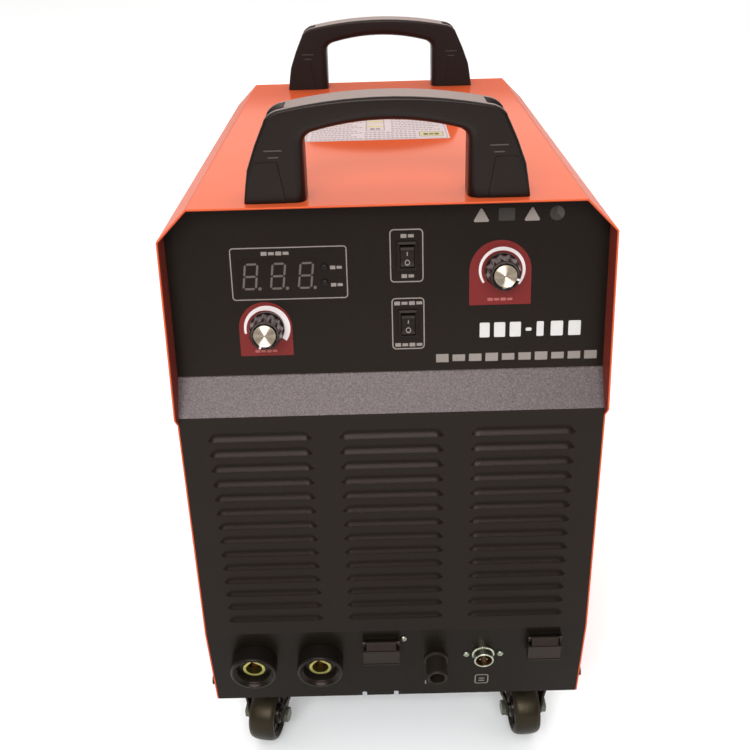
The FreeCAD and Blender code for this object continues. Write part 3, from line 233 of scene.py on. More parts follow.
def make(name, bm, material, body="cabinet", place=CABINET, bevel=0.0, stands_for=(), second=None):
    """Finish a drawn mesh as a piece, with soft edges where bevel is given, and hang it on its body.

    second is the material of the faces with index 1."""
    bmesh.ops.remove_doubles(bm, verts=bm.verts, dist=0.004)
    bmesh.ops.recalc_face_normals(bm, faces=bm.faces)
    mesh = bpy.data.meshes.new(name)
    bm.to_mesh(mesh)
    bm.free()
    mesh.transform(Matrix.Scale(MM, 4) @ place)
    for polygon in mesh.polygons:
        polygon.use_smooth = True
    mesh.set_sharp_from_angle(angle=radians(38))
    mesh.materials.append(material)
    if second:
        mesh.materials.append(second)
    piece = bpy.data.objects.new(name, mesh)
    bpy.context.scene.collection.objects.link(piece)
    if bevel:
        edges = piece.modifiers.new("edges", "BEVEL")
        edges.width = bevel * MM
        edges.segments = 2
        edges.limit_method = "ANGLE"
        edges.angle_limit = radians(38)
    shading = piece.modifiers.new("shading", "WEIGHTED_NORMAL")
    shading.keep_sharp = True
    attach(piece, body)
    if stands_for:
        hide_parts(*stands_for)
    return piece


# ---- materials ----------------------------------------------------------------------------------------

def finish(name, colour, tone, rough=(0.4, 0.5), grain=900, bump=0.1, depth=0.05, metallic=0.0, specular=0.5,
           stretch=(1, 1, 1), patch=9, coat=0.0, turned=0.0, tint=(1, 1, 1), wear=0.0,
           wear_colour=(0.3, 0.3, 0.3)):
    """A Principled material in object space: colour drifts to tone in patches, and a fine grain drives
    roughness and bump, with depth in mm. wear is the share of the surface with small rubbed specks, and
    turned is the strength of the ring marks of a part faced on a lathe."""
    material = bpy.data.materials.new(name)
    material.use_nodes = True
    nodes, links = material.node_tree.nodes, material.node_tree.links
    shader = nodes["Principled BSDF"]
    shader.inputs["Metallic"].default_value = metallic
    shader.inputs["Specular IOR Level"].default_value = specular
    shader.inputs["Coat Weight"].default_value = coat
    shader.inputs["Coat Roughness"].default_value = 0.08
    shader.inputs["Specular Tint"].default_value = (*tint, 1)
    shader.inputs["Anisotropic"].default_value = turned
    place = nodes.new("ShaderNodeTexCoord")
    scale = nodes.new("ShaderNodeMapping")
    scale.inputs["Scale"].default_value = stretch
    links.new(place.outputs["Object"], scale.inputs["Vector"])

    if turned:
        rings = nodes.new("ShaderNodeTangent")
        rings.direction_type = "RADIAL"
        rings.axis = "Y"
        links.new(rings.outputs["Tangent"], shader.inputs["Tangent"])

    def noise(size, detail):
        texture = nodes.new("ShaderNodeTexNoise")
        texture.inputs["Scale"].default_value = size
        texture.inputs["Detail"].default_value = detail
        links.new(scale.outputs["Vector"], texture.inputs["Vector"])
        return texture.outputs["Fac"]

    def spread(value, low, high, from_low=0.3, from_high=0.7):
        ramp = nodes.new("ShaderNodeMapRange")
        ramp.inputs["From Min"].default_value = from_low
        ramp.inputs["From Max"].default_value = from_high
        ramp.inputs["To Min"].default_value = low
        ramp.inputs["To Max"].default_value = high
        links.new(value, ramp.inputs["Value"])
        return ramp.outputs["Result"]

    def mix(factor, first, second):
        blend = nodes.new("ShaderNodeMix")
        blend.data_type = "RGBA"
        links.new(factor, blend.inputs["Factor"])
        for socket, value in ((blend.inputs[6], first), (blend.inputs[7], second)):
            if isinstance(value, tuple):
                socket.default_value = (*value, 1)
            else:
                links.new(value, socket)
        return blend.outputs[2]

    fine = noise(grain, 3)
    shade = mix(spread(noise(patch, 4), 0, 1), colour, tone)
    if wear:
        specks = spread(noise(grain / 6, 5), 0, 1, 1 - wear - 0.02, 1 - wear)
        shade = mix(specks, shade, wear_colour)
    links.new(shade, shader.inputs["Base Color"])
    links.new(spread(fine, rough[0], rough[1]), shader.inputs["Roughness"])
    relief = nodes.new("ShaderNodeBump")
    relief.inputs["Strength"].default_value = bump
    relief.inputs["Distance"].default_value = depth * MM
    links.new(fine, relief.inputs["Height"])
    links.new(relief.outputs["Normal"], shader.inputs["Normal"])
    return material


WARM = (1.0, 0.80, 0.74)          # tint of the shine of the black pieces

cover_paint = finish("cover_paint", (0.55, 0.088, 0.0285), (0.52, 0.080, 0.0255), rough=(0.42, 0.5),
    grain=700, bump=0.2, depth=0.05, specular=0.0, coat=0.27, wear=0.24, wear_colour=(0.46, 0.064, 0.02))
# Inside of the cover: a dark copy of the orange paint, as painted shade
cover_inside_painted_shade = finish("cover_inside_painted_shade", (0.17, 0.026, 0.017), (0.14, 0.021, 0.014), rough=(0.5, 0.6),
    grain=700, bump=0.3, depth=0.05, specular=0.1, wear=0.24, wear_colour=(0.10, 0.016, 0.010))
panel_paint = finish("panel_paint", (0.0066, 0.0050, 0.0034), (0.0056, 0.0043, 0.0029), rough=(0.26, 0.36),
    grain=1500, bump=0.8, depth=0.07, specular=0.16, patch=14, tint=WARM, wear=0.27,
    wear_colour=(0.010, 0.008, 0.006))
# The band's paint: the panel's black, painted lighter grey with bright specks, as painted sheen and painted glints
# where the band faces the light
band_painted_sheen = finish("band_painted_sheen", (0.026, 0.021, 0.021), (0.112, 0.092, 0.092), rough=(0.26, 0.36),
    grain=1500, bump=0.8, depth=0.07, specular=0.22, patch=850, tint=(1.0, 0.84, 0.85), wear=0.24,
    wear_colour=(0.010, 0.008, 0.006))
# Paint of the socket panel: a darker, less shiny copy of the panel paint, as painted shade on the downward-tilted
# socket panel
socket_panel_shaded_paint = finish("socket_panel_shaded_paint", (0.0060, 0.0046, 0.0028), (0.0050, 0.0039, 0.0024), rough=(0.26, 0.36),
    grain=1500, bump=0.8, depth=0.07, specular=0.10, patch=14, tint=WARM, wear=0.27,
    wear_colour=(0.010, 0.008, 0.006))
handle_plastic = finish("handle_plastic", (0.0030, 0.0021, 0.0016), (0.0025, 0.0018, 0.0014),
    rough=(0.3, 0.4), grain=2400, bump=0.4, depth=0.03, specular=0.26, patch=20, tint=WARM, wear=0.25,
    wear_colour=(0.006, 0.005, 0.004))
# The rear handle's plastic: the front grip's black made lighter and greyer, as painted light on the rear handle's
# legs
rear_handle_painted_light = finish("rear_handle_painted_light", (0.0115, 0.0095, 0.0088), (0.0100, 0.0082, 0.0076),
    rough=(0.3, 0.4), grain=2400, bump=0.4, depth=0.03, specular=0.2, patch=20, tint=WARM, wear=0.25,
    wear_colour=(0.014, 0.012, 0.011))
knob_plastic = finish("knob_plastic", (0.004, 0.0034, 0.003), (0.006, 0.005, 0.004), rough=(0.12, 0.2),
    grain=1800, bump=0.1, depth=0.02, specular=0.55, tint=WARM, wear=0.25,
    wear_colour=(0.010, 0.009, 0.008))
switch_plastic = finish("switch_plastic", (0.005, 0.0042, 0.0034), (0.0065, 0.0055, 0.0045),
    rough=(0.42, 0.52), grain=2200, bump=0.25, depth=0.03, specular=0.18, tint=WARM, wear=0.25,
    wear_colour=(0.010, 0.009, 0.008))
socket_plastic = finish("socket_plastic", (0.0065, 0.0052, 0.0040), (0.0075, 0.0060, 0.0047),
    rough=(0.24, 0.36), grain=1600, bump=0.2, depth=0.03, specular=0.16, tint=WARM, wear=0.25,
    wear_colour=(0.008, 0.007, 0.005))
hood_plastic = finish("hood_plastic", (0.0150, 0.0110, 0.0085), (0.0135, 0.0098, 0.0075), rough=(0.4, 0.5),
    grain=1600, bump=0.3, depth=0.03, specular=0.18, tint=WARM, wear=0.25,
    wear_colour=(0.014, 0.011, 0.008))
torch_plastic = finish("torch_plastic", (0.0105, 0.0085, 0.0065), (0.0120, 0.0095, 0.0072),
    rough=(0.42, 0.54), grain=1600, bump=0.3, depth=0.03, specular=0.16, tint=WARM, wear=0.25,
    wear_colour=(0.008, 0.007, 0.005))
display_plastic = finish("display_plastic", (0.0055, 0.0038, 0.003), (0.0065, 0.0046, 0.0036),
    rough=(0.16, 0.24), grain=600, bump=0.03, depth=0.02, specular=0.18, tint=WARM, wear=0.2,
    wear_colour=(0.010, 0.008, 0.006))
turned_aluminium = finish("turned_aluminium", (0.34, 0.285, 0.225), (0.275, 0.23, 0.18), rough=(0.18, 0.26),
    grain=3500, bump=0.2, depth=0.01, metallic=1.0, patch=300, turned=0.6)
brass = finish("brass", (0.42, 0.38, 0.10), (0.33, 0.31, 0.10), rough=(0.25, 0.4), grain=2500, bump=0.2,
    depth=0.02, metallic=1.0, patch=160, wear=0.3, wear_colour=(0.16, 0.12, 0.05))
nickel = finish("nickel", (0.52, 0.54, 0.42), (0.40, 0.42, 0.32), rough=(0.2, 0.32), grain=2500, bump=0.12,
    depth=0.02, metallic=1.0, patch=150)
copper_bore = finish("copper_bore", (0.22, 0.13, 0.07), (0.16, 0.095, 0.05), rough=(0.25, 0.4), grain=2500,
    bump=0.15, depth=0.02, metallic=1.0, patch=200)
zinc_steel = finish("zinc_steel", (0.34, 0.36, 0.28), (0.24, 0.26, 0.20), rough=(0.25, 0.42), grain=1200,
    bump=0.25, depth=0.03, metallic=1.0, patch=120, wear=0.27, wear_colour=(0.14, 0.14, 0.10))
dull_zinc = finish("dull_zinc", (0.13, 0.14, 0.10), (0.09, 0.10, 0.07), rough=(0.3, 0.45), grain=1200,
    bump=0.3, depth=0.03, metallic=1.0, patch=120, wear=0.27, wear_colour=(0.06, 0.06, 0.045))
zinc_sheet = finish("zinc_sheet", (0.52, 0.54, 0.55), (0.38, 0.40, 0.42), rough=(0.3, 0.5), grain=260,
    bump=0.15, depth=0.05, metallic=1.0, patch=30, stretch=(1, 1, 3))
black_steel = finish("black_steel", (0.006, 0.005, 0.0035), (0.009, 0.0075, 0.0052), rough=(0.25, 0.42),
    grain=1000, bump=0.3, depth=0.04, specular=0.25, patch=60, tint=WARM, wear=0.27,
    wear_colour=(0.024, 0.019, 0.013))
wheel_rubber = finish("wheel_rubber", (0.0065, 0.0052, 0.0034), (0.010, 0.008, 0.005), rough=(0.32, 0.48),
    grain=1400, bump=0.4, depth=0.05, specular=0.3, patch=50, tint=(1.0, 0.82, 0.55), wear=0.3,
    wear_colour=(0.022, 0.017, 0.010))
board = finish("board", (0.02, 0.10, 0.04), (0.015, 0.07, 0.03), rough=(0.35, 0.5), grain=500, bump=0.2,
    depth=0.05)
cast_aluminium = finish("cast_aluminium", (0.48, 0.48, 0.47), (0.36, 0.36, 0.36), rough=(0.45, 0.6),
    grain=800, bump=0.5, depth=0.08, metallic=1.0)
core_steel = finish("core_steel", (0.12, 0.11, 0.10), (0.08, 0.075, 0.07), rough=(0.4, 0.6), grain=900,
    bump=0.4, depth=0.05, metallic=0.6, stretch=(1, 8, 1))
copper_wire = finish("copper_wire", (0.45, 0.16, 0.06), (0.36, 0.12, 0.05), rough=(0.25, 0.4), grain=700,
    bump=0.6, depth=0.2, metallic=0.8, stretch=(1, 1, 6))
hose = finish("hose", (0.02, 0.05, 0.16), (0.016, 0.04, 0.12), rough=(0.3, 0.42), grain=900, bump=0.2,
    depth=0.05)


def ink(name, colour, faded, rubbed):
    """Screen-printed paint: matt, a little uneven, with small rubbed specks."""
    return finish(name, colour, faded, rough=(0.5, 0.6), grain=1500, bump=0.1, depth=0.02, specular=0.3,
                  wear=0.28, wear_colour=rubbed)


title_ink = ink("title_ink", (0.50, 0.49, 0.48), (0.46, 0.45, 0.44), (0.36, 0.35, 0.34))
white_ink = ink("white_ink", (0.64, 0.58, 0.58), (0.59, 0.53, 0.53), (0.46, 0.41, 0.41))
grey_ink = ink("grey_ink", (0.21, 0.18, 0.162), (0.17, 0.146, 0.13), (0.11, 0.095, 0.085))
dim_ink = ink("dim_ink", (0.052, 0.043, 0.037), (0.04, 0.034, 0.029), (0.022, 0.019, 0.016))
segment_ink = ink("segment_ink", (0.092, 0.072, 0.061), (0.075, 0.06, 0.05), (0.05, 0.042, 0.036))
faint_ink = ink("faint_ink", (0.022, 0.018, 0.015), (0.017, 0.014, 0.0115), (0.011, 0.009, 0.008))
pink_ink = ink("pink_ink", (0.36, 0.11, 0.10), (0.28, 0.07, 0.06), (0.2, 0.04, 0.03))
red_plate = finish("red_plate", (0.145, 0.010, 0.0085), (0.125, 0.009, 0.0075), rough=(0.35, 0.45),
    grain=1300, bump=0.2, depth=0.03, specular=0.22, wear=0.26, wear_colour=(0.11, 0.010, 0.008))
label_paper = finish("label_paper", (0.42, 0.35, 0.365), (0.39, 0.325, 0.34), rough=(0.35, 0.45), grain=900,
    bump=0.1, depth=0.03, specular=0.2, patch=30)
yellow_ink = finish("yellow_ink", (0.40, 0.36, 0.12), (0.36, 0.32, 0.10), rough=(0.35, 0.45), grain=900,
    bump=0.1, depth=0.02, specular=0.25)

NODE_FINISHES = {
    zinc_sheet: ("base_tray", "mid_shelf"),
    panel_paint: ("rear_panel",),
    black_steel: ("handle_screws", "cover_screws", "fan_guard", "left_front_fork", "right_front_fork",
                  "rear_caster_brackets"),
    zinc_steel: ("caster_plates", "caster_bolts", "connector_screws", "gas_delay_knob_spindle",
                 "current_knob_spindle", "potentiometers"),
    dull_zinc: ("left_front_axle", "right_front_axle", "rear_axles"),
    board: ("control_board", "power_board"),
    cast_aluminium: ("heatsink", "compressor_pump", "filter_regulator"),
    core_steel: ("transformer_core",),
    copper_wire: ("transformer_winding",),
    hose: ("air_hoses",),
    brass: ("torch_outlet_nipple", "air_inlet", "solenoid_valve"),
    switch_plastic: ("fan_frame", "fan_impeller", "compressor_fan", "breaker", "breaker_toggle",
                     "cable_gland", "regulator_knob", "mode_switch_rocker", "air_switch_rocker"),
    wheel_rubber: ("left_rear_wheel", "right_rear_wheel", "left_front_wheel", "right_front_wheel"),
}
for material, names in NODE_FINISHES.items():
    for name in names:
        slots = frame["nodes"][name].data.materials
        slots.clear()
        slots.append(material)


# ---- cabinet sheets -----------------------------------------------------------------------------------

def front_edge(height):
    """y of the cover's front edge at a height: it follows the front panel, then juts out as a visor."""
    line = ((0, FOOT_IN), (CREASE, 0)) + VISOR
    for (low, y), (high, end) in zip(line, line[1:]):
        if height <= high:
            return y + (end - y) * (height - low) / (high - low)
    return line[-1][1]


def top_cover():
    """One folded sheet: two sides, two slanted shoulders and the top."""
    bend = 2.0
    side = [(0, 0), (CREASE, 0), (VISOR[0][0], 0), (VISOR[1][0], 0), (TALL - SHOULDER, bend)]
    half = [(Vector((-HALF, height)), radius) for height, radius in side]
    half.append((Vector((SHOULDER - HALF, TALL)), bend))
    path = half + [(Vector((-point.x, point.y)), radius) for point, radius in reversed(half)]
    outer = fillet([point for point, _ in path], [radius for _, radius in path])
    turn = 1 if offset_line(outer, GAUGE)[0].x > -HALF else -1
    inner = offset_line(outer, turn * GAUGE)
    bm = bmesh.new()
    loft(bm, [[(a.x, front_edge(a.y), a.y), (a.x, BACK, a.y), (b.x, BACK, b.y), (b.x, front_edge(b.y), b.y)]
              for a, b in zip(outer, inner)])
    make("cover_shell", bm, cover_paint, bevel=0.35, stands_for=["top_cover"])
    # A dark sheet just inside the cover's inner face: painted shade on the inside of the sheet
    under, back = offset_line(inner, turn * 0.03), offset_line(inner, turn * 0.3)
    bm = bmesh.new()
    loft(bm, [[(a.x, front_edge(a.y) + 0.4, a.y), (a.x, BACK - 0.4, a.y), (b.x, BACK - 0.4, b.y),
               (b.x, front_edge(b.y) + 0.4, b.y)] for a, b in zip(under, back)])
    make("cover_shade_lining", bm, cover_inside_painted_shade)


LOUVRE_CENTRES = (-99.3, 0.0, 99.3)
LOUVRE_HALF = 39.5
LOUVRE_NARROWING = 5.0            # how much shorter each end is at the top of a louvre
LOUVRE_RAMP = 6.5
LOUVRE_RISE = 8.0
LOUVRE_REACH = 2.8
LOUVRE_PITCH = 13.25
LOUVRE_FIRST = 101.0
LOUVRE_ROWS = 14
LOUVRE_CURVE = ((0, 1), (0.1, 0.87), (0.25, 0.64), (0.4, 0.42), (0.55, 0.24), (0.7, 0.11), (0.85, 0.03),
                (1, 0))
LOUVRE_END = ((0, 0), (0.15, 0.36), (0.4, 0.76), (0.7, 0.95), (1, 1))
PANEL_TOP = 293.0


def louvre_stations(share):
    """x of each mesh line across the front sheet, part way up a louvre, and its share of the reach."""
    half = LOUVRE_HALF - LOUVRE_NARROWING * share
    stations = [(-INNER, 0)]
    for centre in LOUVRE_CENTRES:
        stations += [(centre - half + LOUVRE_RAMP * run, reach) for run, reach in LOUVRE_END]
        stations += [(centre + half - LOUVRE_RAMP * run, reach) for run, reach in reversed(LOUVRE_END)]
    return stations + [(INNER, 0)]


def front_panel():
    """The louvred sheet and the socket panel below it, one sheet with a soft crease; each louvre is cut open
    along its lower lip."""
    bm = bmesh.new()
    to_cabinet = CABINET.inverted() @ SOCKET
    up = to_cabinet.to_3x3() @ Vector((0, 1, 0))
    tilt = up.angle(Vector((0, 0, 1)))
    bend = 3.0
    reach = bend * tan(tilt / 2)

    def line(height, y=0.0, share=0.0, push=0.0, shared=None):
        verts = []
        for i, (x, out) in enumerate(louvre_stations(share)):
            if shared and not out:
                verts.append(shared[i])
            else:
                verts.append(bm.verts.new((x, y - LOUVRE_REACH * out * push, height)))
        return verts

    rows = []
    for i in range(4):
        turn = tilt * (1 - i / 3)
        rows.append(line(CREASE + reach - bend * sin(turn), bend * (1 - cos(turn))))
    for row in range(LOUVRE_ROWS):
        lip = LOUVRE_FIRST + LOUVRE_PITCH * row
        rows.append(line(lip))
        skin(bm, rows)
        rows = [line(lip, push=1.0, shared=rows[-1])]
        for share, push in LOUVRE_CURVE[1:]:
            rows.append(line(lip + LOUVRE_RISE * share, share=share, push=push))
    rows.append(line(PANEL_TOP))
    skin(bm, rows)

    low = CREASE / up.z - reach
    outline = [(x, low) for x, _ in louvre_stations(0)] + [(INNER, 0)]
    for x in (-0.5, -28.5):
        outline += [(x + 2, 0), (x + 2, 4.2), (x + 1.2, 5), (x - 1.2, 5), (x - 2, 4.2), (x - 2, 0)]
    outline.append((-INNER, 0))
    loops = [outline] + [circle(x, OUTPUT_UP, 11) for x in OUTPUT_X]
    loops += [circle(*TORCH, 6), circle(*SWITCH, 7.5)]
    # the socket panel's faces take index 1, the darker copy of the panel paint: painted shade
    flat(bm, loops, to_cabinet, 1)
    thicken(bm, GAUGE, Vector((0, -1, 0)))
    make("front_sheet", bm, panel_paint, stands_for=["front_panel"], second=socket_panel_shaded_paint)


def control_panel():
    """The leaning control panel, folded forward at its foot into the band above the louvres."""
    bm = bmesh.new()
    fold = fillet([BAND_FOOT, (0, 0), (10, 0)], 2.5, steps=5)
    rows = [[bm.verts.new((x, up, out)) for x in (-INNER, INNER)] for up, out in fold[:-1]]
    skin(bm, rows)
    for face in bm.faces:
        face.material_index = 1
    up_axis = CONTROL.to_3x3() @ Vector((0, 1, 0))
    origin = (CABINET.inverted() @ CONTROL).translation
    top = (TALL - 5 - origin.z) / up_axis.z
    corner = (TALL - SHOULDER - 0.3 - origin.z) / up_axis.z
    trim = INNER - (TALL - 5 - (TALL - SHOULDER - 0.3))
    foot = fold[-2].x
    outline = [(-INNER, foot), (INNER, foot), (INNER, corner), (trim, top), (-trim, top), (-INNER, corner)]
    loops = [outline, rounded(-79.9, 74.7, 57.6, 28.2, 1.0)]
    loops += [rounded(ROCKER_X, up, 12.6, 18.6, 0.5) for up in ROCKERS_UP.values()]
    flat(bm, loops)
    thicken(bm, PANEL_GAUGE, Vector((0, 0, 1)))
    # the band at the fold gets the lighter copy of the panel paint: painted sheen
    make("control_sheet", bm, panel_paint, place=CONTROL, stands_for=["control_panel"], second=band_painted_sheen)


# ---- handles ------------------------------------------------------------------------------------------

HANDLE_HALF_DEPTH = 16.5
HANDLE_SHIFT = 0.6
HANDLE_CROWN = (73.4, 62.4, 70.0)     # where the top's arc starts, its height there and in the middle
HANDLE_CEILING = (48.0, 47.6, 53.8)
HANDLE_RIM = 6.5                      # rim in front of and behind the pocket in each top corner


def arch(x, start, edge, middle):
    """Height of an arc that passes (start, edge) and (0, middle)."""
    rise = middle - edge
    radius = (start ** 2 + rise ** 2) / (2 * rise)
    return middle - radius + sqrt(radius ** 2 - x ** 2)


def handle_ring(outer, inner, pocket):
    """Rounded section of the handle between its outer and inner line; pocket sinks the middle of its top."""
    outer, inner = Vector(outer), Vector(inner)
    wide = (outer - inner).length
    out = (outer - inner).normalized()
    deep, soft, crisp = HANDLE_HALF_DEPTH, 7.5, 2.6
    edge = deep - HANDLE_RIM
    section = arc(-deep + soft, soft, soft, 180, 270, 4) + arc(deep - soft, soft, soft, 270, 360, 4)
    section += arc(deep - crisp, wide - crisp, crisp, 0, 90, 5)
    section += [(edge + 0.5, wide), (edge, wide - min(pocket, 0.6)), (edge - 0.8, wide - pocket),
                (-edge + 0.8, wide - pocket), (-edge, wide - min(pocket, 0.6)), (-edge - 0.5, wide)]
    section += arc(-deep + crisp, wide - crisp, crisp, 90, 180, 5)
    return [(inner.x + out.x * v, u, inner.y + out.y * v) for u, v in section]


def handle(name, node, material):
    low, high = box_mm(node)
    place = Matrix.Translation((HANDLE_SHIFT, (low.y + high.y) / 2, low.z))
    half = [((99, 0), (56, 0), 0), ((97.4, 11.5), (56, 10), 0), ((95.4, 23), (56, 20), 0),
            ((89.2, 39.3), (56, 33), 0), ((84.1, 50.4), (56, 38), 0), ((83.2, 52.3), (55.8, 40.4), 0),
            ((82.4, 53.9), (55.4, 42.2), 3.4), ((81.2, 56.8), (54, 44.4), 4.2),
            ((79.2, 59), (52.4, 45.7), 4.6), ((76.6, 60.9), (50.4, 46.9), 4.6),
            ((73.4, 62.4), (48, 47.6), 4.4)]
    for x, pocket in ((69.4, 4.0), (68.2, 0), (63, 0), (54, 0), (42, 0), (30, 0), (18, 0), (6, 0)):
        below = x * HANDLE_CEILING[0] / HANDLE_CROWN[0]
        half.append(((x, arch(x, *HANDLE_CROWN)), (below, arch(below, *HANDLE_CEILING)), pocket))
    mirrored = [((-a, b), (-c, d), pocket) for (a, b), (c, d), pocket in reversed(half)]
    bm = bmesh.new()
    loft(bm, [handle_ring(*station) for station in half + mirrored])
    for side in SIDES:
        plaque = [(side * 69.5, 0.2), (side * 97.6, 0.2), (side * 93.2, 21.5), (side * 89.5, 28.5),
                  (side * 74, 28.5)]
        plate(bm, [plaque], HANDLE_HALF_DEPTH - 1, HANDLE_HALF_DEPTH + 0.8, UPRIGHT)
    make(name, bm, material, place=place, bevel=0.4, stands_for=[node])
    # Two raised ribs on each leg, lighter than the grip: painted highlight for ribs that catch the light from
    # above
    bm = bmesh.new()
    for side in SIDES:
        for up, long in ((36.4, 12.5), (31.8, 7.4)):
            plate(bm, [rounded(side * 76.5, up, long, 0.9, 0.4)], HANDLE_HALF_DEPTH - 0.5,
                  HANDLE_HALF_DEPTH + 0.35, UPRIGHT)
    make(name + "_lines", bm, dim_ink, place=place)


# ---- printed marks ------------------------------------------------------------------------------------

def blocks(bm, left, low, width, height, count, gap=0.2, levels=(1.0, 0.8)):
    """A row of plain blocks in place of a printed word, with nothing to read."""
    pitch = width / count
    for i in range(count):
        tall = height * levels[i % len(levels)]
        plate(bm, [rounded(left + pitch * (i + 0.5), low + height / 2, pitch * (1 - gap), tall, 0.15, 2)],
              0, INK)


def outline_ring(bm, left, right, low, high, radius, line):
    x, y, width, height = (left + right) / 2, (low + high) / 2, right - left, high - low
    plate(bm, [rounded(x, y, width, height, radius),
               rounded(x, y, width - 2 * line, height - 2 * line, radius - line)], 0, INK)


def icon_triangle(bm, x, y, size):
    corners = [(x + size * 0.66 * cos(turn), y + size * (0.66 * sin(turn) - 0.14))
               for turn in (radians(90), radians(210), radians(330))]
    plate(bm, [fillet(corners, 0.9, closed=True)], 0, INK)


def control_marks():
    bm = bmesh.new()
    outline_ring(bm, -113, -29, 58.2, 97, 2.5, 0.8)
    outline_ring(bm, 1.7, 25.8, 68.7, 107.6, 3, 0.85)
    outline_ring(bm, 2.2, 26.2, 17.8, 57.1, 3, 0.85)
    for x in (67, 103):
        icon_triangle(bm, x, 116, 10.5)
    blocks(bm, -91, 91.0, 21, 2.8, 4)
    blocks(bm, -41.8, 79.8, 9.4, 2.6, 2)
    blocks(bm, -41.6, 67.0, 9.4, 2.6, 2)
    for low, width in ((101.2, 10.5), (71.9, 10), (51.6, 21.5), (19.8, 21)):
        blocks(bm, ROCKER_X + 0.2 - width / 2, low, width, 2.8, max(2, round(width / 5)))
    make("panel_marks", bm, grey_ink, place=CONTROL)

    bm = bmesh.new()
    plate(bm, [rounded(85, 116, 11.5, 9, 1.2)], 0, INK)
    plate(bm, [circle(120.5, 116, 5.2, 32)], 0, INK)
    make("panel_faint_marks", bm, faint_ink, place=CONTROL)
    bm = bmesh.new()
    plate(bm, [arc(120.5, 116, 5.2, -40, 90, 16) + [(120.5, 116)]], INK, 2 * INK)
    make("panel_half_disc", bm, dim_ink, place=CONTROL)

    bm = bmesh.new()
    for x, width, low, tall in ((66, 8.5, 25, 12), (76.5, 9.5, 25, 12), (88, 9.5, 25, 12),
                                (100, 5, 29.5, 2.6), (108, 6, 25, 12), (118, 10.5, 25, 12),
                                (131, 10.5, 25, 12)):
        plate(bm, [rounded(x + width / 2, low + tall / 2, width * 0.86, tall * 0.94, 0.8)], 0, INK)
    make("title_blocks", bm, title_ink, place=CONTROL)

    bm = bmesh.new()
    blocks(bm, 33, 6.8, 122, 6.4, 10, gap=0.24, levels=(1.0, 0.8, 0.9))
    make("second_line_blocks", bm, grey_ink, place=CONTROL)


KNOB_ARCHES = {
    "gas": dict(plate=(-109.9, -70.9, 15.7, 56.7), centre=(-89.3, 37.0), radius=17.0,
                widths=((-104, 1.5), (0, 3.5), (126, 4.6)), marks=(-99.5, 18.2, 17, 2.2, 4)),
    "current": dict(plate=(58.7, 103.4, 50.2, 97.9), centre=(82.3, 76.2), radius=16.8,
                    widths=((-125, 1.5), (0, 2.7), (132, 1.8)), marks=(71.5, 53.2, 19, 2.2, 4)),
}


def knob_arch(name, spec):
    """A red plate with a round top, and a white scale arc whose width changes along it."""
    left, right, low, high = spec["plate"]
    radius = (right - left) / 2
    bm = bmesh.new()
    outline = [(left, low), (right, low)] + arc((left + right) / 2, high - radius, radius, 0, 180, 32)
    plate(bm, [outline], 0, 0.35)
    make(name + "_arch_plate", bm, red_plate, place=CONTROL, bevel=0.1)

    (first, _), (_, _), (last, _) = spec["widths"]
    steps = 56
    outer, inner = [], []
    for i in range(steps + 1):
        turn = first + (last - first) * i / steps
        for (start, wide), (end, wider) in zip(spec["widths"], spec["widths"][1:]):
            if start <= turn <= end:
                width = wide + (wider - wide) * (turn - start) / (end - start)
        x, y = sin(radians(turn)), cos(radians(turn))
        outer.append((spec["centre"][0] + spec["radius"] * x, spec["centre"][1] + spec["radius"] * y))
        shrunk = spec["radius"] - width
        inner.append((spec["centre"][0] + shrunk * x, spec["centre"][1] + shrunk * y))
    bm = bmesh.new()
    plate(bm, [outer + inner[::-1]], 0.35, 0.35 + INK)
    make(name + "_scale_arc", bm, white_ink, place=CONTROL)
    bm = bmesh.new()
    blocks(bm, *spec["marks"])
    make(name + "_arch_marks", bm, pink_ink, place=CONTROL @ spot(0, 0, 0.35))


def socket_marks():
    bm = bmesh.new()
    outline_ring(bm, 68.5, 80.5, 13, 25.5, 2.2, 0.9)
    for low in (17.2, 20.2):
        plate(bm, [rounded(74.5, low, 5, 1.1, 0.4)], 0, INK)
    plate(bm, [rounded(25.4, 16.5, 1.1, 5, 0.4)], 0, INK)
    make("socket_marks", bm, grey_ink, place=SOCKET)


def top_label():
    """A white notice stuck on the top: dash lines, two yellow patches and a boxed cell, nothing to read."""
    place = CABINET @ spot(0, 0, TALL)
    left, right, low, high = -68.0, 58.0, 202.0, 296.0
    bm = bmesh.new()
    plate(bm, [rounded((left + right) / 2, (low + high) / 2, right - left, high - low, 2)], 0, 0.12)
    make("top_label", bm, label_paper, place=place)
    bm = bmesh.new()
    outline_ring(bm, left + 1.6, right - 1.6, low + 1.6, high - 1.6, 1, 0.7)
    for row in range(11):
        up = low + 5 + row * 7.4
        for x, width in ((left + 5, 46 - 5 * (row % 3)), (8, 44 - 6 * (row % 2))):
            if row > 3 or x < 0:
                blocks(bm, x, up, width, 2.5, 12, gap=0.3, levels=(1.0, 0.8, 1.0))
    for row in range(4):
        blocks(bm, -16, low + 5 + row * 7.4, 46, 2.5, 12, gap=0.3, levels=(1.0, 0.8, 1.0))
    outline_ring(bm, -14.5, 2.5, low + 36, high - 12, 1.6, 0.9)
    outline_ring(bm, 32, 53.5, low + 9, low + 27, 1.6, 1.0)
    make("top_label_lines", bm, grey_ink, place=place @ spot(0, 0, 0.12))
    bm = bmesh.new()
    plate(bm, [rounded(42.8, low + 18, 19, 15, 0.6)], 0, 0.06)
    for up in (low + 54, low + 74):
        plate(bm, [rounded(-6, up, 14.6, 7, 0.6)], 0, 0.06)
    make("top_label_patches", bm, yellow_ink, place=place @ spot(0, 0, 0.12))
    bm = bmesh.new()
    blocks(bm, 35.5, low + 14, 14.5, 7, 3)
    blocks(bm, -11, low + 41, 10, 4, 2)
    make("top_label_blocks", bm, dim_ink, place=place @ spot(0, 0, 0.18))


# ---- controls -----------------------------------------------------------------------------------------

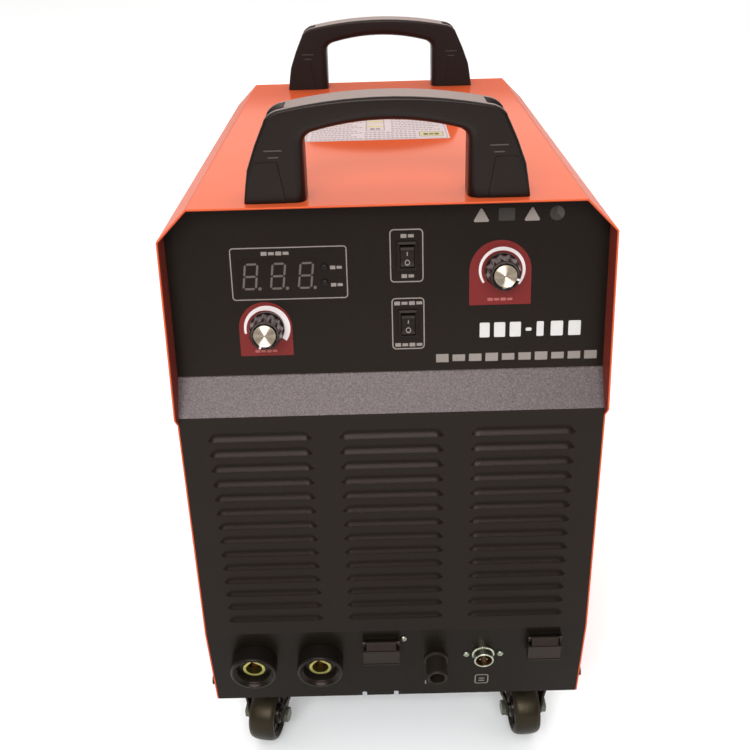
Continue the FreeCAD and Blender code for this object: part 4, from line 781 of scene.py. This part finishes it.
CAP_RADIUS = 8.3
CAP_TOP = 20.1
CAP_GROOVE = 0.16                 # half the pitch of the cap's turning marks
KNOB_PROFILE = ((12.6, 0.8), (13.0, 1.2), (13.0, 3.4), (12.7, 4.2), (12.4, 5.0), (12.2, 6.2), (11.9, 11),
                (11.5, 16), (11.2, 17.8), (10.9, 18.6), (10.3, 19.1), (9.6, 19.1), (CAP_RADIUS + 0.3, 18.8),
                (CAP_RADIUS + 0.2, 18.0))
KNOB_SCALLOPS = 12


def scallop(height):
    """Depth of the grip's scallops at a height: none on the skirt, and fading out under the top edge."""
    return 1.15 * max(0.0, min(1.0, (height - 4.6) / 1.8, (18.9 - height) / 1.5))


def knob(name, body, at, clock, node):
    """A scalloped grip, a turned cap and a pointer line; clock is the pointer's angle from straight up."""
    place = CONTROL @ spot(*at)
    pointer = radians(90 - clock)
    steps = 120
    bm = bmesh.new()
    rings = []
    for radius, height in KNOB_PROFILE:
        ring = []
        for i in range(steps):
            turn = 2 * pi * i / steps
            wave = 0.5 - 0.5 * cos(KNOB_SCALLOPS * (turn - pointer))
            reach = radius - scallop(height) * wave ** 0.7
            ring.append((reach * cos(turn), reach * sin(turn), height))
        rings.append(ring)
    loft(bm, rings)
    make(name + "_grip", bm, knob_plastic, body, place, stands_for=[node])

    bm = bmesh.new()
    rim = [(CAP_RADIUS, 17.6), (CAP_RADIUS, 19.4), (CAP_RADIUS - 0.3, CAP_TOP + 0.1),
           (CAP_RADIUS - 0.5, CAP_TOP)]
    marks = [(CAP_RADIUS - 0.5 - CAP_GROOVE * i, CAP_TOP - 0.075 * (i % 2)) for i in range(1, 46)]
    lathe(bm, rim + marks, 72)
    make(name + "_cap", bm, turned_aluminium, body, place)

    bm = bmesh.new()
    line = ((8.7, 19.0), (9.6, 19.2), (10.3, 19.2), (10.98, 18.7), (11.28, 17.8), (11.6, 16), (12.0, 11),
            (12.3, 6.2), (12.5, 5.0), (12.8, 4.2), (13.1, 3.4), (13.1, 1.6))
    rings = []
    for radius, height in line:
        half, skin_depth = 0.75, 0.25
        rings.append([(radius, -half, height), (radius, half, height),
                      (radius - skin_depth, half, height - skin_depth),
                      (radius - skin_depth, -half, height - skin_depth)])
    loft(bm, rings)
    make(name + "_pointer", bm, white_ink, body, place @ Matrix.Rotation(pointer, 4, "Z"))


def paddle_height(y):
    """The rocker's dished face."""
    return 2.6 + 2.0 * (y / 6.8) ** 2


def rocker(name, body, up, frame_node, rocker_node):
    place = CONTROL @ spot(ROCKER_X, up)
    bm = bmesh.new()
    sections = ((15.0, 21.2, 1.2, 0), (15.0, 21.2, 1.2, 1.0), (14.7, 20.9, 1.1, 1.35), (11.2, 17.8, 0.7, 2.0),
                (10.6, 17.2, 0.5, 2.0), (10.6, 17.2, 0.5, -6.4), (12.0, 18.2, 0.5, -6.4),
                (12.0, 18.2, 0.5, 0))
    rings = [[(x, y, z) for x, y in rounded(0, 0, width, height, radius)]
             for width, height, radius, z in sections]
    loft(bm, rings + rings[:1], caps=False)
    plate(bm, [rounded(0, 0, 12.0, 18.2, 0.5)], -16, -6)
    make(name + "_bezel", bm, switch_plastic, "cabinet", place, bevel=0.12, stands_for=[frame_node])

    tilted = place @ spot(0, 0, -1) @ Matrix.Rotation(radians(10), 4, "X")
    face = [(y, paddle_height(y)) for y in (-6.8 + 12.4 * i / 12 for i in range(13))]
    side = [(-7.6, -1), (-7.6, 4.0)] + face + [(7.6, 2.9), (7.6, -1), (0, -3)]
    bm = bmesh.new()
    loft(bm, [[(x, y, z) for y, z in side] for x in (-5, 5)])
    make(name + "_paddle", bm, switch_plastic, body, tilted, bevel=0.25, stands_for=[rocker_node])

    bm = bmesh.new()
    plate(bm, [rounded(0, 2.6, 0.8, 3.4, 0.3)], 0, 0.1)
    plate(bm, [circle(0, -4.0, 1.95, 32), circle(0, -4.0, 1.3, 32)], 0, 0.1)
    for vert in bm.verts:
        vert.co.z += paddle_height(vert.co.y)
    make(name + "_paddle_marks", bm, grey_ink, body, tilted)


SEGMENT = 1.5
DIGIT_SPOTS = (-98.9, -79.0, -58.9)


def segment(bm, x, y, long, upright):
    """One six-sided bar of a digit."""
    a, b = long / 2, SEGMENT / 2
    points = [(-a, 0), (-a + b, -b), (a - b, -b), (a, 0), (a - b, b), (-a + b, b)]
    if upright:
        points = [(-q, p) for p, q in points]
    slant = tan(radians(7))
    plate(bm, [[(x + p + (y + q) * slant, y + q) for p, q in points]], 0, 0.05)


def display():
    bm = bmesh.new()
    plate(bm, [rounded(-79.9, 74.7, 58.2, 28.8, 1.2)], -1.2, 0.15)
    make("display_window", bm, display_plastic, place=CONTROL, bevel=0.1, stands_for=["display_module"])
    wide, tall = 9.0, 18.2
    for i, x in enumerate(DIGIT_SPOTS):
        bm = bmesh.new()
        for level in (-1, 0, 1):
            segment(bm, 0, level * tall / 2, wide - 1.4, False)
        for side in SIDES:
            for level in SIDES:
                segment(bm, side * wide / 2, level * tall / 4, tall / 2 - 0.7, True)
        plate(bm, [circle(wide / 2 + 3.0 - 1.2, -tall / 2, 1.25, 20)], 0, 0.05)
        make(f"display_digit_{i + 1}", bm, segment_ink, place=CONTROL @ spot(x, 75.8, 0.15))
    bm = bmesh.new()
    for y in (70.0, 81.5):
        lathe(bm, ((2.6, 0), (2.6, 0.9), (2.3, 1.3), (1.6, 1.6), (0.6, 1.7)), 24, spot(-45.4, y))
    make("panel_lamps", bm, switch_plastic, place=CONTROL)


# ---- socket panel -------------------------------------------------------------------------------------

OUTPUT_BUSH_OUT = 8.4


def output_sockets():
    """Round black collars with a raised rim, around keyed brass bushes whose bore points upward."""
    bm = bmesh.new()
    for x in OUTPUT_X:
        lathe(bm, ((19.2, 0), (19.5, 1), (19.5, 12.8), (19.2, 14.2), (18.4, 15.0), (17.4, 15.2), (16.6, 14.8),
                   (15.8, 13.2), (14.6, 12.6), (13.8, 11.6), (13.2, 8.0), (12.6, 6.6), (9.0, 6.4), (9.0, 0)),
              72, spot(x, OUTPUT_UP), ring=True)
    make("output_collars", bm, socket_plastic, place=SOCKET, stands_for=["output_socket_collars"])
    bm = bmesh.new()
    for x in OUTPUT_X:
        outer = arc(x, OUTPUT_UP - 0.6, 9.4, 150, 390, 40) + [(x - 1.4, OUTPUT_UP + 11.2)]
        bore = arc(x, OUTPUT_UP - 0.6, 6.9, 140, 400, 40) + [(x - 1.2, OUTPUT_UP + 8.8)]
        plate(bm, [outer, bore], 2, OUTPUT_BUSH_OUT)
    make("output_bushes", bm, brass, place=SOCKET, bevel=0.5, stands_for=["output_socket_inserts"])
    bm = bmesh.new()
    for x in OUTPUT_X:
        lathe(bm, ((8.8, -8), (8.8, -3.0), (1.4, -3.0), (1.4, -2.4)), 32, spot(x, OUTPUT_UP))
        lathe(bm, ((9.0, -3), (9.0, 3), (8.3, 3), (8.3, -3)), 40, spot(x, OUTPUT_UP), ring=True)
    make("output_bush_bores", bm, copper_bore, place=SOCKET)


def torch_outlet():
    bm = bmesh.new()
    lathe(bm, ((10.4, 0), (10.4, 1.6), (9.6, 2.4), (8.75, 2.8), (8.75, 18.4), (8.4, 19.6), (7.6, 20.4),
               (6.8, 20.4), (6.3, 19.9), (6.2, 19), (6.2, 7), (5, 7), (5, 0)), 56, spot(*TORCH), ring=True)
    make("torch_collar", bm, torch_plastic, place=SOCKET,
         stands_for=["torch_outlet_collar"])


def switch_socket():
    place = SOCKET @ spot(*SWITCH)
    bm = bmesh.new()
    lathe(bm, ((9.6, 0), (9.6, 1.0), (9.2, 1.4), (8.5, 1.6), (8.5, 7.3), (8.2, 7.8), (7.8, 8.0),
               (7.2, 7.9), (6.9, 7.5), (6.9, 0)), 56, ring=True)
    make("switch_shell", bm, nickel, place=place, stands_for=["torch_switch_socket"])
    bm = bmesh.new()
    lathe(bm, ((6.95, 1.0), (6.95, 7.3), (6.6, 7.3), (6.6, 1.0)), 48, ring=True)
    make("switch_sleeve", bm, copper_bore, place=place)
    bm = bmesh.new()
    lathe(bm, ((6.95, -2), (6.95, 1.2), (6.4, 1.6)), 40)
    make("switch_insulator", bm, knob_plastic, place=place)
    bm = bmesh.new()
    for turn in (90, 210, 330):
        pin = spot(3.4 * cos(radians(turn)), 3.4 * sin(radians(turn)))
        lathe(bm, ((0.9, 1.0), (0.9, 4.4), (0.6, 4.9), (0.2, 5.0)), 16, pin)
    make("switch_pins", bm, nickel, place=place)
    bm = bmesh.new()
    for x, y in ((SWITCH[0] - 14.5, SWITCH[1]), (SWITCH[0] + 14.5, SWITCH[1]), (6.6, 76.8)):
        lathe(bm, ((2.9, 0), (2.9, 0.5), (2.6, 1.2), (1.9, 1.7), (1.1, 1.8), (0.8, 1.2)), 24, spot(x, y))
    make("connector_screw_heads", bm, zinc_steel, place=SOCKET, stands_for=["connector_screws"])


HOOD_TALL = 25.0
HOOD_REACH = 9.5
HOOD_SKIN = 1.2
HOOD_PIN = (-2.6, 4.2)            # down from the hood's top, and out of the panel


def hood(name, x, top, half, body):
    """A small lid that hangs over a terminal from two ears: a narrow leaf, then a wider front with a lip."""
    place = SOCKET @ spot(x, top)
    sideways = Matrix(((0, 0, 1, 0), (1, 0, 0, 0), (0, 1, 0, 0), (0, 0, 0, 1)))     # draws (up, out) sections
    bm = bmesh.new()
    block(bm, 2 - half, half - 2, 2.5 - HOOD_TALL, 0, 0, 1.4)
    for side in SIDES:
        ear = fillet([(-5.4, 0), (0, 0), (0, 5.2), (-1.2, 6.8), (-4.4, 6.8), (-5.4, 5.2)],
                     (0, 0, 1, 1, 1, 1), closed=True)
        near, far = sorted((side * half, side * (half - 1.8)))
        plate(bm, [ear], near, far, sideways)
    lathe(bm, ((5, 1.4), (5, 4.6), (4.4, 5.0), (2.3, 5.0), (2.2, 2.4)), 32, spot(0, -HOOD_TALL / 2 - 3))
    make(name + "_ears", bm, socket_plastic, place=place, bevel=0.25, stands_for=[name + "_cover_base"])

    bm = bmesh.new()
    leaf = [(-2.9, 2.6), (-1.2, 4.4), (-1.6, 5.9), (-7.0, HOOD_REACH - 0.4), (-8.6, HOOD_REACH - 0.4),
            (-8.6, HOOD_REACH - 1.6)]
    plate(bm, [fillet(leaf, (0.4, 0.9, 0.9, 0.5, 0, 0), closed=True)], 3 - half, half - 3, sideways)
    front = [(-half, -7.6), (half, -7.6), (half - 0.8, -HOOD_TALL), (0.8 - half, -HOOD_TALL)]
    plate(bm, [front], HOOD_REACH - HOOD_SKIN, HOOD_REACH)
    block(bm, -half, half, -8.6, -7.4, HOOD_REACH - HOOD_SKIN, HOOD_REACH + 0.5)
    block(bm, 0.8 - half, half - 0.8, -HOOD_TALL, HOOD_SKIN - HOOD_TALL, 2.4, HOOD_REACH + 0.5)
    for side in SIDES:
        near, far = sorted((side * (half - 0.3), side * (half - 0.3 - HOOD_SKIN)))
        cheek = [(-HOOD_TALL + 0.2, 2.4), (-HOOD_TALL + 0.2, HOOD_REACH - 0.2), (-7.8, HOOD_REACH - 0.2),
                 (-9.4, 2.4)]
        plate(bm, [cheek], near, far, sideways)
    lathe(bm, ((1.2, 0.3 - half), (1.2, half - 0.3)), 20,
          Matrix.Translation((0, HOOD_PIN[0], HOOD_PIN[1])) @ Matrix.Rotation(radians(90), 4, "Y"))
    make(name + "_lid", bm, hood_plastic, body, place, bevel=0.25,
         stands_for=[name + "_cover_flap"])


# ---- casters ------------------------------------------------------------------------------------------

TYRE = ((18.6, -9.8), (19.4, -11.0), (20.6, -11.9), (22.2, -11.6), (23.6, -10.0), (24.5, -7.4),
        (24.9, -3.8), (25, 0))


def wheel(name, body, node):
    """A round-shouldered tyre on a moulded hub with five pockets."""
    low, high = box_mm(node)
    hub = (low + high) / 2
    joint = next(joint for joint in frame["joints"] if joint["child"] == body)
    axis = Vector(joint["axis"])
    place = Matrix.Translation(hub) @ Vector((0, 0, 1)).rotation_difference(axis).to_matrix().to_4x4()
    bm = bmesh.new()
    profile = list(TYRE) + [(radius, -along) for radius, along in reversed(TYRE[:-1])]
    lathe(bm, profile, 72, place, ring=True)
    make(name + "_tyre", bm, wheel_rubber, body, Matrix(), stands_for=[node])
    bm = bmesh.new()
    lathe(bm, ((4.2, -12.6), (8.4, -12.6), (9.2, -11.6), (9.6, -8.6), (16.6, -7.8), (17.6, -9.8),
               (18.6, -10.0), (19.2, -8.8), (19.2, 8.8), (18.6, 10.0), (17.6, 9.8), (16.6, 7.8),
               (9.6, 8.6), (9.2, 11.6), (8.4, 12.6), (4.2, 12.6)), 60, place, ring=True)
    for i in range(5):
        rib = place @ Matrix.Rotation(2 * pi * i / 5, 4, "Z")
        block(bm, 8.5, 17.5, -1.1, 1.1, -9.6, 9.6, rib)
    make(name + "_hub", bm, black_steel, body, Matrix())


# height, outer x, front y and back y down a leg of the fork
FORK_LEG = ((-11, 23.5, -10, 10), (-20, 23.5, -17, 10), (-26, 21.5, -23, 7), (-31, 18.5, -27, 2),
            (-37, 16.7, -30.5, -5), (-46, 16.5, -29.5, -13.5), (-50, 16.5, -26, -17.5))
FORK_SKIN = 2.5


def fork(name, body, place, stands_for):
    """A pressed fork: a round shoulder under the swivel race, and two legs that flare up into it."""
    bm = bmesh.new()
    lathe(bm, ((25, -13.2), (25.2, -11.6), (24.6, -10.2), (22, -9.3), (15, -8.9), (15, -11.4), (22, -11.9)),
          56, ring=True)
    for side in SIDES:
        rings = []
        for height, outer, front, back in FORK_LEG:
            corners = rectangle(outer - FORK_SKIN, outer, front, back)
            rings.append([(side * x, y, height) for x, y in corners])
        loft(bm, rings)
    lathe(bm, ((4.0, -16.4), (6.4, -16.4), (6.8, -15.6), (6.8, -13.2), (6.2, -11.2), (4.0, -11.2)), 32,
          ring=True)
    make(name, bm, black_steel, body, place, bevel=0.6, stands_for=stands_for)


def casters():
    for side in ("left", "right"):
        swivel = JOINTS[side + "_caster_swivel"]
        axle = Vector(JOINTS[side + "_front_roll"]["axis"])
        kingpin = Vector(swivel["pos_m"]) / MM
        swing = Vector((axle.y, -axle.x, 0)) if axle.x < 0 else Vector((-axle.y, axle.x, 0))
        place = Matrix.Translation((kingpin.x, kingpin.y, CABINET.translation.z))
        place = place @ Vector((0, 1, 0)).rotation_difference(swing).to_matrix().to_4x4()
        fork(side + "_fork_shell", side + "_fork", place, [side + "_front_fork"])
        for end in ("front", "rear"):
            wheel(f"{side}_{end}", f"{side}_{end}_wheel", f"{side}_{end}_wheel")


# ---- building -----------------------------------------------------------------------------------------

top_cover()
front_panel()
control_panel()
handle("front_grip", "front_handle", handle_plastic)
# the rear handle takes the lighter copy of the grip plastic: painted light
handle("rear_grip", "rear_handle", rear_handle_painted_light)
control_marks()
for name, spec in KNOB_ARCHES.items():
    knob_arch(name, spec)
socket_marks()
top_label()
knob("gas_knob", "gas_knob", GAS_KNOB, 203, "gas_delay_knob")
knob("current_knob", "current_knob", CURRENT_KNOB, 108, "current_knob")
for name, up in ROCKERS_UP.items():
    rocker(name, name + "_rocker", up, name + "_switch_frame", name + "_switch_rocker")
display()
output_sockets()
torch_outlet()
switch_socket()
hood("pilot", -12.5, 79.6, 15.5, "pilot_flap")
hood("remote", 124.8, 81.0, 14.0, "remote_flap")
casters()


# ---- floor, light and camera ----------------------------------------------------------------------------

def stage_floor():
    bm = bmesh.new()
    size = 30.0
    corners = [bm.verts.new((x, y, 0)) for x, y in rectangle(-size, size, -size, size)]
    bm.faces.new(corners)
    mesh = bpy.data.meshes.new("floor")
    bm.to_mesh(mesh)
    bm.free()
    mesh.materials.append(finish("floor", (0.92, 0.94, 0.945), (0.905, 0.925, 0.93), rough=(0.6, 0.7),
                                 grain=90, bump=0.02, depth=0.2, patch=1))
    floor = bpy.data.objects.new("floor", mesh)
    bpy.context.scene.collection.objects.link(floor)


def softbox(name, at, towards, width, height, power, colour=(1, 1, 1)):
    """A rectangular lamp that faces a point."""
    lamp = bpy.data.lights.new(name, "AREA")
    lamp.shape = "RECTANGLE"
    lamp.size, lamp.size_y = width, height
    lamp.energy = power
    lamp.color = colour
    thing = bpy.data.objects.new(name, lamp)
    thing.location = at
    thing.rotation_euler = (Vector(towards) - Vector(at)).to_track_quat("-Z", "Y").to_euler()
    bpy.context.scene.collection.objects.link(thing)


def studio_world():
    """A pale room, brighter behind the object than in front, white overhead and warm near the horizon."""
    world = bpy.data.worlds.new("studio")
    world.use_nodes = True
    nodes, links = world.node_tree.nodes, world.node_tree.links
    place = nodes.new("ShaderNodeTexCoord")
    parts = nodes.new("ShaderNodeSeparateXYZ")
    links.new(place.outputs["Generated"], parts.inputs["Vector"])
    ramp = nodes.new("ShaderNodeMapRange")
    ramp.inputs["From Min"].default_value = -0.8
    ramp.inputs["From Max"].default_value = 0.5
    ramp.inputs["To Min"].default_value = 0.3
    ramp.inputs["To Max"].default_value = 1.1
    links.new(parts.outputs["Y"], ramp.inputs["Value"])
    links.new(ramp.outputs["Result"], nodes["Background"].inputs["Strength"])
    height = nodes.new("ShaderNodeMapRange")
    height.inputs["From Min"].default_value = 0.30
    height.inputs["From Max"].default_value = 0.55
    links.new(parts.outputs["Z"], height.inputs["Value"])
    tone = nodes.new("ShaderNodeMix")
    tone.data_type = "RGBA"
    tone.inputs[6].default_value = (0.74, 0.58, 0.54, 1)
    tone.inputs[7].default_value = (1, 1, 1, 1)
    links.new(height.outputs["Result"], tone.inputs["Factor"])
    links.new(tone.outputs[2], nodes["Background"].inputs["Color"])
    bpy.context.scene.world = world


CAMERA_AT = (-0.00728, -0.88860, 0.70937)
CAMERA_TURN = (-0.347, 26.337, -1.668)      # degrees to the right, down, and of roll
CAMERA_LENS = 46.9


def camera():
    """The photograph's camera, solved from the edges of the cabinet."""
    yaw, pitch, roll = (radians(angle) for angle in CAMERA_TURN)
    ahead = Vector((sin(yaw) * cos(pitch), cos(yaw) * cos(pitch), -sin(pitch)))
    right = Vector((cos(yaw), -sin(yaw), 0))
    up = right.cross(ahead)
    rolled_right = right * cos(roll) + up * sin(roll)
    rolled_up = up * cos(roll) - right * sin(roll)
    lens = bpy.data.cameras.new("camera")
    lens.lens = CAMERA_LENS
    lens.sensor_width = 36.0
    thing = bpy.data.objects.new("camera", lens)
    turn = Matrix((rolled_right, rolled_up, -ahead)).transposed().to_4x4()
    thing.matrix_world = Matrix.Translation(CAMERA_AT) @ turn
    bpy.context.scene.collection.objects.link(thing)
    bpy.context.scene.camera = thing


stage_floor()
studio_world()
softbox("ceiling", (0, 4, 6), (0, 4, 0), 18, 18, 520)
softbox("front_window", (-0.25, -2.15, 1.68), (0, -0.24, 0.37), 1.9, 0.9, 58)
softbox("rear_window", (0, 3.2, 1.9), (0, 0, 0.5), 3.4, 1.6, 37, (1.0, 0.79, 0.71))
camera()
bpy.context.scene.view_settings.view_transform = "Standard"
